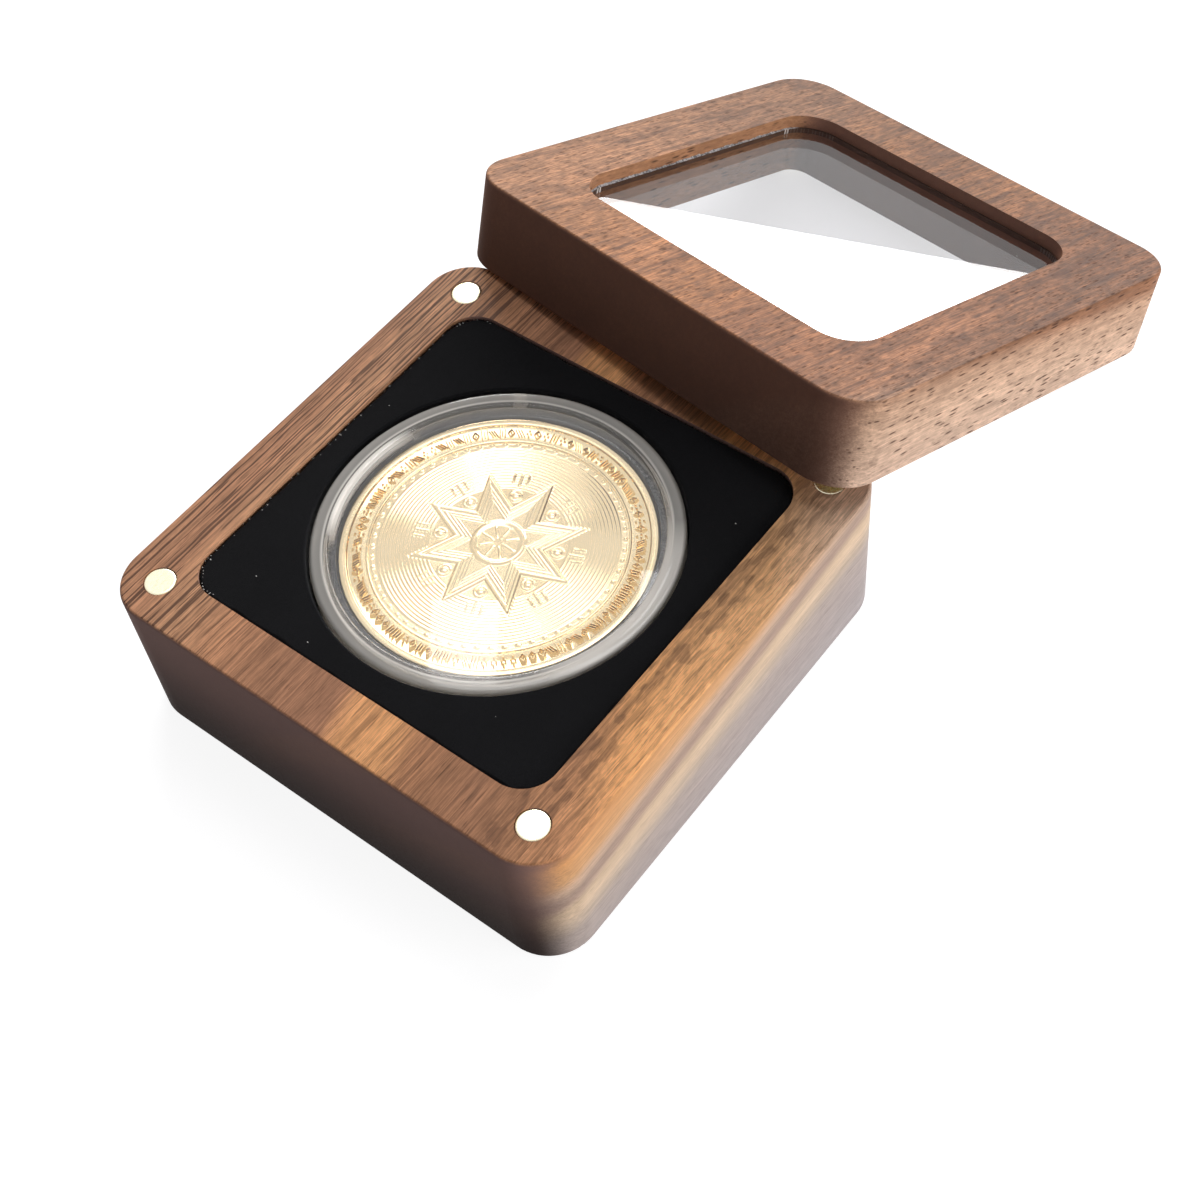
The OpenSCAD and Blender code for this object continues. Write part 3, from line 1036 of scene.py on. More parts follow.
@dataclass
class FlockedInsert:
    """The soft insert: a plain lower board, and an upper board with the round hole."""

    edge_mm: float = 0.35
    hole_edge_mm: float = 0.3
    hole_gap_mm: float = 0.3
    corner_mm: float = 4.4
    unevenness_mm: float = 0.03
    ragged_mm: float = 0.22
    fibres_per_mm: float = 26.0
    fibre_mm: tuple[float, float] = (0.18, 0.5)
    fibre_width_mm: float = 0.035
    edge_specks: int = 70
    seed: int = 11

    def build(self) -> None:
        """Makes both boards, the loose fibres and the lint on the pile."""
        flock = Flock().material()
        upper = self._upper()
        settle(upper, "base", flock, ("insert_upper_layer",))
        lower = self._lower()
        settle(lower, "base", Foam().material(), ("insert_lower_layer",))
        settle(self._fibres(), "base", flock)
        settle(self._lint(), "base", Lint().material())

    def _outline(self, half: float) -> np.ndarray:
        """The insert's outline, with points close enough for its round corners."""
        return square_path(half, self.corner_mm, arc_steps=14, side_steps=46)

    def _hole_radius(self) -> float:
        """Radius of the round hole, from the capsule that stands in it."""
        return box_mm("capsule_lower_half")[1][0] + self.hole_gap_mm

    def _upper(self) -> bpy.types.Object:
        """Upper board.

        Its section runs up the wall of the hole, over a softened edge, across the top, over the
        outer edge and down. Between the hole's circle and the square outline each point is a
        weighted mean of the two, and a slow wave of sines lifts and lowers the top a little.

        Returns:
            The board.
        """
        low, high = box_mm("insert_upper_layer")
        path = self._outline(high[0])
        angle = np.arctan2(path[:, 1], path[:, 0])
        radial = np.stack([np.cos(angle), np.sin(angle)], axis=1)
        hole, edge, rim = self._hole_radius(), self.edge_mm, self.hole_edge_mm
        inner = profile_of(
            (0.0, low[2]), (0.0, high[2] - 2.0 * rim), arc((rim, high[2] - rim), rim, 180.0, 90.0, 6)
        )
        outer = profile_of(arc((edge, high[2] - edge), edge, 90.0, 180.0, 5), (0.0, low[2]))
        inside = (hole + inner[:, :1])[:, None] * radial[None]
        outside = path[None, :, :2] - outer[:, 0][:, None, None] * path[None, :, 2:]
        share = np.linspace(0.0, 1.0, 26)[1:-1, None, None]
        between = (1.0 - share) * inside[-1][None] + share * outside[0][None]
        place = np.concatenate([inside, between, outside])
        top = np.full(len(between), high[2])
        height = np.concatenate([inner[:, 1], top, outer[:, 1]])[:, None] * np.ones(len(path))
        frayed = self.ragged_mm * self._fray(len(path))[None] * eased(height, high[2] - 1.0, 1.0)
        place[-len(outer):] -= (frayed[..., None] * path[None, :, 2:])[-len(outer):]
        wave = np.sin(place[..., 0] * 0.31 + 0.7) * np.sin(place[..., 1] * 0.27 + 1.9)
        height -= self.unevenness_mm * (0.5 + 0.5 * wave) * (height > high[2] - 0.01)
        grid = np.concatenate([place, height[..., None]], axis=2)
        return Surface.grid(grid, loop_rows=True).piece("flocked_board", sharp_deg=60.0)

    def _fray(self, count: int) -> np.ndarray:
        """How far the cut edge draws in along the outline, as a share from 0 to 1.

        Sums of sines with random phases are raised to their square, so that the edge is mostly
        straight with a few bites.

        Args:
            count: Number of points of the outline.

        Returns:
            The share at each point.
        """
        chance = np.random.default_rng(self.seed)
        turn = np.arange(count) / count * FULL_TURN
        waves = np.array([7, 13, 29, 47, 61])[:, None]
        total = np.sin(waves * turn + chance.uniform(0.0, FULL_TURN, (len(waves), 1))).sum(axis=0)
        return np.clip(0.5 + total / 5.0, 0.0, 1.0) ** 2

    def _lower(self) -> bpy.types.Object:
        """Lower board, a slab with softened edges whose section closes on its middle.

        Returns:
            The board.
        """
        low, high = box_mm("insert_lower_layer")
        edge, middle = self.edge_mm, high[0]
        section = profile_of(
            (middle, low[2]),
            arc((edge, low[2] + edge), edge, 270.0, 180.0, 4),
            arc((edge, high[2] - edge), edge, 180.0, 90.0, 4),
            (middle * 0.5, high[2]),
            (middle, high[2]),
        )
        path = self._outline(high[0])
        inward, height = section[:, 0], section[:, 1]
        shrink = 1.0 - inward / middle
        deep = inward > self.corner_mm
        offset = path[None, :, :2] - inward[:, None, None] * path[None, :, 2:]
        scaled = path[None, :, :2] * shrink[:, None, None]
        place = np.where(deep[:, None, None], scaled, offset)
        rows = np.concatenate([place, np.broadcast_to(height[:, None, None], place.shape[:2] + (1,))], axis=2)
        return Surface.grid(rows).piece("foam_board", sharp_deg=60.0)

    def _fibres(self) -> bpy.types.Object:
        """Loose fibres of the pile along the cut edges.

        Each is a thin three-sided needle. Its root lies on the outer edge or on the edge of the
        hole, and it leans by a random angle between outwards and upwards.

        Returns:
            All fibres as one piece.
        """
        chance = np.random.default_rng(self.seed)
        high = box_mm("insert_upper_layer")[1]
        path = self._outline(high[0])
        length = 8.0 * high[0]
        count = int(length * self.fibres_per_mm)
        pick = chance.uniform(0.0, len(path), count)
        first, share = pick.astype(int) % len(path), (pick % 1.0)[:, None]
        along = path[first] * (1.0 - share) + path[(first + 1) % len(path)] * share
        around = chance.uniform(
            0.0, FULL_TURN, int(FULL_TURN * self._hole_radius() * self.fibres_per_mm * 0.5)
        )
        ring = np.stack([np.cos(around), np.sin(around)], axis=1)
        hole = self._hole_radius() + self.hole_edge_mm
        place = np.concatenate([along[:, :2] - 0.6 * self.edge_mm * along[:, 2:], hole * ring])
        outward = np.concatenate([along[:, 2:], -ring])
        total = len(place)
        lift = chance.uniform(0.15, 1.3, total)
        sway = chance.normal(0.0, 0.7, total)
        side = np.stack([-outward[:, 1], outward[:, 0]], axis=1)
        flat = outward * np.cos(lift)[:, None] + side * (np.sin(sway) * 0.7)[:, None]
        aim = np.concatenate([flat, np.sin(lift)[:, None]], axis=1)
        aim /= np.linalg.norm(aim, axis=1)[:, None]
        reach = chance.uniform(*self.fibre_mm, total)[:, None]
        reach[len(along):] *= 0.5
        root = np.concatenate([place, np.full((total, 1), high[2] - 0.12)], axis=1)
        return needles(root, root + aim * reach, self.fibre_width_mm).piece("flock_fibres")

    def _lint(self) -> bpy.types.Object:
        """Specks of lint: a few on the pile, and many small ones along its left edge."""
        chance = np.random.default_rng(self.seed)
        high = box_mm("insert_upper_layer")[1]
        path = self._outline(high[0])
        left = path[path[:, 0] < -0.8 * high[0]]
        chosen = left[chance.integers(0, len(left), self.edge_specks)]
        edge = chosen[:, :2] - chance.uniform(0.05, 0.5, (self.edge_specks, 1)) * chosen[:, 2:]
        places = np.concatenate([
            edge, [(16.2, -19.9), (-24.0, 8.0), (-19.5, -21.0), (22.5, 17.0), (-8.0, -24.5)]
        ])
        return specks(places, high[2] + 0.01, 0.075, self.seed).piece("flock_lint")


def needles(root: np.ndarray, tip: np.ndarray, width: float) -> Surface:
    """Thin three-sided needles from root to tip.

    Args:
        root: Places of the roots.
        tip: Places of the tips.
        width: Width across a root.

    Returns:
        All needles as one surface.
    """
    aim = tip - root
    aim = aim / np.linalg.norm(aim, axis=1)[:, None]
    first = np.cross(aim, np.array([0.31, 0.77, 0.55]))
    first /= np.linalg.norm(first, axis=1)[:, None]
    second = np.cross(aim, first)
    corners = [
        root + width / 2.0 * (math.cos(turn) * first + math.sin(turn) * second)
        for turn in (0.0, FULL_TURN / 3.0, 2.0 * FULL_TURN / 3.0)
    ]
    points = np.stack([*corners, tip], axis=1)
    faces = np.array([[0, 1, 3], [1, 2, 3], [2, 0, 3], [0, 2, 1]])
    return Surface.copies(points, faces)


def specks(places: np.ndarray, height: float, size: float, seed: int) -> Surface:
    """Small uneven specks that lie on a level face.

    Each is a ball of six by four faces whose radius varies from point to point.

    Args:
        places: Places x and y of the specks.
        height: Height of their middles.
        size: Their mean radius.
        seed: Seed of the random sizes.

    Returns:
        All specks as one surface.
    """
    chance = np.random.default_rng(seed)
    parts = []
    for place in places:
        polar = np.linspace(0.0, math.pi, 5)
        around = np.arange(6) * FULL_TURN / 6.0
        radius = size * chance.uniform(0.6, 1.5) * chance.uniform(0.75, 1.25, (5, 6))
        radius[0], radius[-1] = radius[0, 0], radius[-1, 0]
        points = np.stack([
            place[0] + radius * np.sin(polar)[:, None] * np.cos(around),
            place[1] + radius * np.sin(polar)[:, None] * np.sin(around) * 0.7,
            height + 0.5 * radius * np.cos(polar)[:, None] * np.ones(6),
        ], axis=2)
        parts.append(Surface.grid(points))
    return Surface.joined(parts)


@dataclass
class CoinCapsule:
    """The clear capsule: two dished halves whose walls nest around the coin."""

    inner_wall_mm: float = 1.5
    outer_wall_mm: float = 1.55
    wall_gap_mm: float = 0.05
    face_mm: float = 1.2
    recess_mm: float = 0.3
    foot_mm: float = 1.6
    edge_mm: float = 0.6
    fillet_mm: float = 0.12
    lip_mm: float = 0.28
    gate_width_mm: float = 1.8
    gate_proud_mm: float = 0.15
    gate_bearing_deg: float = 122.0
    columns: int = 256

    def __post_init__(self) -> None:
        """Reads the capsule's place from the construction model."""
        low, high = box_mm("capsule_lower_half")
        self.foot_z, self.wall_top = low[2], high[2]
        self.top_z = box_mm("capsule_upper_half")[1][2]
        self.radius = high[0]
        self.skirt_radius = self.radius - self.outer_wall_mm
        self.wall_radius = self.skirt_radius - self.wall_gap_mm
        self.chamber_radius = self.wall_radius - self.inner_wall_mm
        self.ring_radius = self.chamber_radius + self.inner_wall_mm / 2.0

    def build(self) -> None:
        """Makes both halves."""
        # The rings are partly the milkiness of the moulded walls and partly painted reflection of the white
        # surroundings.
        rings = ((0.0, 0.02), (self.chamber_radius - 0.3, 0.02), (self.chamber_radius, 0.04))
        rings += ((self.ring_radius, 0.07), (self.wall_radius - 0.25, 0.16), (self.wall_radius, 0.75))
        rings += ((self.skirt_radius + 0.25, 0.34), (self.radius - 0.6, 0.38), (self.radius - 0.1, 0.3))
        # Painted highlights: an arc at bearing 188 degrees, a broader one at 2 degrees and a glint on the
        # gate's stub.
        painted_gleams = ((188.0, 32.0, self.ring_radius - 0.5, self.wall_radius - 0.3, 0.97),)
        painted_gleams += ((2.0, 50.0, self.ring_radius, self.radius - 0.1, 0.7),)
        painted_gleams += ((self.gate_bearing_deg, 3.0, self.radius - 0.35, self.radius + 0.4, 1.0),)
        plastic = ClearPlastic(
            "clear_capsule_plastic", rings=rings, painted_gleams=painted_gleams, rubbed=0.06, polish=0.02
        ).material()
        settle(self._lower(), "capsule_lower", plastic, ("capsule_lower_half",))
        settle(self._upper(), "capsule_upper", plastic, ("capsule_upper_half",))

    def _lower(self) -> bpy.types.Object:
        """Lower half: a ring to stand on, the floor above it and the standing wall.

        Its half section runs from the middle of the floor's underside out to the ring, over the
        softened rim, in to the wall, over the wall's top and down to the middle of the floor.

        Returns:
            The lower half.
        """
        small, base = self.fillet_mm, self.foot_z
        floor, joint = base + self.recess_mm + self.face_mm, base + self.foot_mm
        section = profile_of(
            (0.0, base + self.recess_mm),
            (self.ring_radius - small, base + self.recess_mm),
            (self.ring_radius, base + small),
            arc((self.ring_radius + small, base + small), small, 180.0, 270.0, 3),
            arc((self.radius - self.edge_mm, base + self.edge_mm), self.edge_mm, 270.0, 360.0, 6),
            arc((self.radius - small, joint - small), small, 0.0, 90.0, 3),
            (self.wall_radius, joint),
            arc((self.wall_radius - small, self.wall_top - small), small, 0.0, 90.0, 3),
            arc((self.chamber_radius + small, self.wall_top - small), small, 90.0, 180.0, 3),
            (self.chamber_radius, floor + small),
            (self.chamber_radius - small, floor),
            (0.0, floor),
        )
        return turned(section, self.columns).piece("capsule_foot", sharp_deg=30.0)

    def _upper(self) -> bpy.types.Object:
        """Upper half: the face over the coin, the raised ring, the hanging wall and the gate.

        Its half section runs from the middle of the face's underside out to the skirt, down and
        round the skirt's foot, up the outside, over the softened rim and in across the face.

        Returns:
            The upper half.
        """
        small, joint, top = self.fillet_mm, self.foot_z + self.foot_mm, self.top_z
        ceiling = top - self.recess_mm - self.face_mm
        section = profile_of(
            (0.0, ceiling),
            (self.skirt_radius - small, ceiling),
            (self.skirt_radius, ceiling - small),
            (self.skirt_radius, joint),
            (self.radius - small, joint),
            (self.radius, joint + small),
            arc((self.radius - self.edge_mm, top - self.edge_mm), self.edge_mm, 0.0, 90.0, 6),
            arc((self.ring_radius + self.lip_mm, top - self.lip_mm), self.lip_mm, 90.0, 180.0, 6),
            (self.ring_radius - 0.02, top - self.recess_mm),
            (0.0, top - self.recess_mm),
        )
        cover = [turned(section, self.columns), self._gate()]
        return Surface.joined(cover).piece("capsule_cover", sharp_deg=30.0)

    def _gate(self) -> Surface:
        """The stub that the moulding leaves on the rim, a small block with a broken-off face."""
        half, bearing = self.gate_width_mm / 2.0, math.radians(self.gate_bearing_deg)
        high = self.top_z - self.face_mm
        low = high - self.face_mm
        start, end = self.radius - 0.2, self.radius + self.gate_proud_mm
        along = np.array([start, end - 0.03, end])
        width = np.array([half, half, half * 0.8])
        across = np.array([-1.0, 1.0, 1.0, -1.0])
        height = np.array([low, low, high, high])
        ring = np.stack([
            np.repeat(along, 4), np.outer(width, across).ravel(), np.tile(height, 3)
        ], axis=1).reshape(3, 4, 3)
        middle = ring.mean(axis=1, keepdims=True) * np.ones((1, 4, 1))
        grid = np.concatenate([middle[:1], ring, middle[-1:]])
        turn = np.array(Matrix.Rotation(bearing, 3, "Z"))
        return Surface.grid(grid @ turn.T)


class Mark(Enum):
    """Kinds of small ornament in the coin's band, with their bars.

    Each bar is given by its place along and across the band, half of its length, half of its
    width and its slant, for an ornament of unit size.
    """

    STROKES = ((0.0, -0.36, 0.7, 0.1, 0.0), (0.0, 0.0, 0.45, 0.1, 0.0), (0.0, 0.36, 0.7, 0.1, 0.0))
    LOZENGE = (
        (0.34, 0.2, 0.4, 0.09, -0.62), (0.34, -0.2, 0.4, 0.09, 0.62),
        (-0.34, 0.2, 0.4, 0.09, 0.62), (-0.34, -0.2, 0.4, 0.09, -0.62), (0.0, 0.0, 0.12, 0.1, 0.0),
    )
    SLANTS = ((0.0, -0.34, 0.62, 0.09, 0.5), (0.0, 0.0, 0.62, 0.09, 0.5), (0.0, 0.34, 0.62, 0.09, 0.5))
    DOTS = (
        (0.5, 0.0, 0.13, 0.13, 0.0), (0.0, 0.26, 0.13, 0.13, 0.0),
        (0.0, -0.26, 0.13, 0.13, 0.0), (-0.5, 0.0, 0.13, 0.13, 0.0),
    )


@dataclass
class StruckCoin:
    """The coin: a turned blank with a reeded edge, and the relief struck into its face."""

    rim_mm: float = 1.0
    field_drop_mm: float = 0.35
    band_mm: float = 2.5
    ripples: int = 14
    ripple_in_mm: float = 8.4
    ripple_height_mm: float = 0.085
    reeds: int = 144
    reed_mm: float = 0.06
    columns: int = 720
    relief_columns: int = 640
    star_points: int = 8
    star_mm: float = 10.6
    notch_mm: float = 5.6
    boss_mm: float = 3.4
    petal_mm: float = 0.85
    petal_ring_mm: float = 7.3
    beads: int = 60
    bead_mm: float = 0.5
    marks: int = 96
    seed: int = 3

    def __post_init__(self) -> None:
        """Reads the coin's place from the construction model."""
        low, high = box_mm("coin")
        self.back_z, self.rim_z = low[2], high[2]
        self.radius = high[0]
        self.field_z = self.rim_z - self.field_drop_mm
        self.band_out = self.radius - self.rim_mm
        self.band_in = self.band_out - self.band_mm
        self.bead_ring = self.band_in - self.bead_mm
        self.ripple_out = self.bead_ring - self.bead_mm
        self.relief_out = self.band_in - self.bead_mm / 2.0

    def build(self) -> None:
        """Makes the blank, the relief and the ornaments of the band."""
        gold = Gold().material()
        settle(self._blank(), "coin", gold, ("coin",))
        settle(self._relief(), "coin", gold)
        settle(self._marks(), "coin", gold)

    def _blank(self) -> bpy.types.Object:
        """The blank.

        Its face is sunk a little where the relief lies on it. On the edge the radius is
        lessened by a cosine of the angle, which gives the reeds.

        Returns:
            The blank.
        """
        soft, sunk = 0.2, 0.12
        back, top = self.back_z, self.rim_z
        section = profile_of(
            (0.0, back + self.field_drop_mm),
            (self.band_out - soft, back + self.field_drop_mm),
            (self.band_out, back + soft / 2.0),
            arc((self.band_out + soft, back + soft), soft, 200.0, 270.0, 3),
            arc((self.radius - soft, back + soft), soft, 270.0, 360.0, 4),
            (self.radius, (back + top) / 2.0),
            arc((self.radius - soft, top - soft), soft, 0.0, 90.0, 4),
            arc((self.band_out + soft, top - soft), soft, 90.0, 160.0, 3),
            (self.band_out - 0.02, self.field_z + 0.06),
            (self.band_out - 0.1, self.field_z),
            (self.band_in + 0.26, self.field_z),
            arc((self.band_in + 0.06, self.field_z), 0.18, 0.0, 180.0, 6),
            (self.band_in - 0.2, self.field_z),
            (self.relief_out - 0.1, self.field_z),
            (self.relief_out - 0.15, self.field_z - sunk),
            (0.0, self.field_z - sunk),
        )
        surface = turned(section, self.columns)
        grid = surface.points.reshape(len(section), self.columns, 3)
        angle = np.arange(self.columns) * FULL_TURN / self.columns
        middle = (back + top) / 2.0
        on_edge = (section[:, 0] > self.radius - 0.05) & (abs(section[:, 1] - middle) < middle - back - 0.1)
        scale = 1.0 - on_edge[:, None] * self.reed_mm / self.radius * (0.5 - 0.5 * np.cos(self.reeds * angle))
        grid[..., :2] *= scale[..., None]
        return surface.piece("coin_blank", sharp_deg=50.0)

    def _folded(self, angle: np.ndarray, count: int) -> np.ndarray:
        """Angle from the nearest of a number of equal rays, the first along X."""
        pitch = FULL_TURN / count
        return np.abs((angle / pitch + 0.5) % 1.0 - 0.5) * pitch

    def _star(self, radius: np.ndarray, angle: np.ndarray) -> np.ndarray:
        """How deep a place lies inside the star's outline, less than 0 outside it.

        The star is folded onto half of one point of it, whose side runs from the tip to the
        notch. The depth is the cross product of that side's direction and the way to the place.

        Args:
            radius: Distance from the coin's middle.
            angle: Bearing.

        Returns:
            The depth in millimetres.
        """
        half = math.pi / self.star_points
        fold = self._folded(angle, self.star_points)
        side = np.array([self.notch_mm * math.cos(half) - self.star_mm, self.notch_mm * math.sin(half)])
        side /= np.linalg.norm(side)
        return side[0] * radius * np.sin(fold) - side[1] * (radius * np.cos(fold) - self.star_mm)

    def _height(self, radius: np.ndarray, angle: np.ndarray) -> np.ndarray:
        """Height of the relief over the field.

        It is the highest of these: the star, with a raised outline and three lines that follow
        it inside; the petals, each a dome with a ring; three short rays beyond each petal; the
        ripple rings, a squared sine of the radius; the beads, half balls on a circle; and the
        boss, with a ridge round it and short spokes.

        Args:
            radius: Distance from the coin's middle.
            angle: Bearing.

        Returns:
            The height in millimetres.
        """
        depth = self._star(radius, angle)
        star = 0.1 * eased(depth, 0.0, 0.12)
        for at, half, lift in ((0.27, 0.26, 0.13), (0.82, 0.16, 0.08), (1.2, 0.14, 0.07), (1.56, 0.12, 0.06)):
            star += lift * ridge(depth, at, half)
        gap = math.pi / self.star_points - self._folded(angle, self.star_points)
        along, aside = radius * np.cos(gap), radius * np.sin(gap)
        reach = np.hypot(along - self.petal_ring_mm, aside)
        petal = 0.2 * ridge(reach, 0.0, 0.6 * self.petal_mm) + 0.12 * ridge(reach, 0.85 * self.petal_mm, 0.13)
        ray = (
            ridge(aside, 0.0, 0.15) * eased(along, 8.7, 0.2)
            + ridge(aside, 0.9, 0.13) * eased(along, 9.1, 0.2)
        )
        ray *= 0.18 * (1.0 - eased(along, 10.6, 0.2))
        share = np.clip((radius - self.ripple_in_mm) / (self.ripple_out - self.ripple_in_mm), 0.0, 1.0)
        ripple = self.ripple_height_mm * np.sin(math.pi * self.ripples * share) ** 2
        ripple = ripple * (1.0 - eased(np.maximum(depth, (ray > 0.0) - 0.5), -0.15, 0.2))
        turn = self._folded(angle, self.beads)
        off = np.hypot(radius * np.sin(turn), radius * np.cos(turn) - self.bead_ring)
        bead = 0.2 * ridge(off, 0.0, self.bead_mm / 2.0)
        spoke = ridge(radius * np.sin(self._folded(angle, self.star_points)), 0.0, 0.16)
        spoke = spoke * eased(radius, 0.8, 0.2) * (1.0 - eased(radius, 0.7 * self.boss_mm, 0.2))
        boss = 0.2 + 0.1 * np.maximum(spoke, ridge(radius, 0.88 * self.boss_mm, 0.3))
        boss = boss * (1.0 - eased(radius, self.boss_mm, 0.15))
        return np.maximum.reduce([star, petal, ray, ripple, bead, boss])

    def _relief(self) -> bpy.types.Object:
        """The relief, a disc whose top follows the height of the relief over the field.

        Returns:
            The relief, with the attribute frost on the flat parts of the star.
        """
        stops = ((0.0, 0), (self.boss_mm, 20), (self.ripple_in_mm, 44), (self.ripple_out, 5 * self.ripples))
        rows = [np.linspace(a, b, n + 1)[1:] for (a, _), (b, n) in zip(stops, stops[1:])]
        rows += [np.linspace(self.ripple_out, self.relief_out, 9)[1:]]
        radius = np.concatenate([[0.0], *rows])[:, None]
        angle = (np.arange(self.relief_columns) * FULL_TURN / self.relief_columns)[None]
        height = self.field_z + self._height(radius, angle)
        height[-1] = self.field_z - 0.06
        grid = np.stack([radius * np.cos(angle), radius * np.sin(angle), height], axis=2)
        foot = np.array([[[0.0, 0.0, self.field_z - 0.14]]]) * np.ones((1, self.relief_columns, 1))
        edge = grid[-1:] * [1.0, 1.0, 0.0] + foot
        made = Surface.grid(np.concatenate([grid, edge, foot])).piece("coin_relief", sharp_deg=60.0)
        flat = np.zeros(len(made.data.vertices) * 3, np.float32)
        made.data.vertices.foreach_get("co", flat)
        place = flat.reshape(-1, 3) / MM
        reach = np.hypot(place[:, 0], place[:, 1])
        depth = self._star(reach, np.arctan2(place[:, 1], place[:, 0]) % FULL_TURN)
        frost = (
            eased(depth, 0.52, 0.08)
            * (1.0 - ridge(depth, 0.82, 0.18))
            * eased(reach, self.boss_mm + 0.1, 0.2)
        )
        layer = made.data.attributes.new("frost", "FLOAT", "POINT")
        layer.data.foreach_set("value", frost.astype(np.float32))
        return made

    def _marks(self) -> bpy.types.Object:
        """Small ornaments all round the band, their kinds and sizes drawn by lot.

        A bar has slanting sides: rings of four corners at its foot, low on its sides and on its
        top, which is drawn in.

        Returns:
            All ornaments as one piece.
        """
        chance = np.random.default_rng(self.seed)
        kinds = list(Mark)
        middle = (self.band_out + self.band_in) / 2.0 + 0.08
        bars = []
        for turn in np.arange(self.marks) * FULL_TURN / self.marks:
            size = chance.uniform(0.85, 1.05)
            kind = np.array(kinds[chance.integers(len(kinds))].value) * [size, size, size, 1.0, 1.0]
            bars.append(np.column_stack([kind, np.full(len(kind), turn)]))
        out, aside, half_long, half_wide, slant, turn = np.concatenate(bars).T[:, :, None]
        rings = []
        for shrink, height in ((0.0, -0.05), (0.02, 0.18), (0.08, 0.32)):
            long = np.array([-1.0, 1.0, 1.0, -1.0]) * (half_long - shrink)
            wide = np.array([-1.0, -1.0, 1.0, 1.0]) * (half_wide - shrink * 0.8)
            along = middle + out + long * np.cos(slant) - wide * np.sin(slant)
            side = aside + long * np.sin(slant) + wide * np.cos(slant)
            x, y = along * np.cos(turn) - side * np.sin(turn), along * np.sin(turn) + side * np.cos(turn)
            rings.append(np.stack([x, y, np.full_like(x, self.field_z + height)], axis=2))
        walls = [
            [4 * r + c, 4 * r + (c + 1) % 4, 4 * r + 4 + (c + 1) % 4, 4 * r + 4 + c]
            for r in (0, 1) for c in range(4)
        ]
        faces = np.array(walls + [[3, 2, 1, 0], [8, 9, 10, 11]])
        return Surface.copies(np.concatenate(rings, axis=1), faces).piece("coin_band_marks", sharp_deg=30.0)


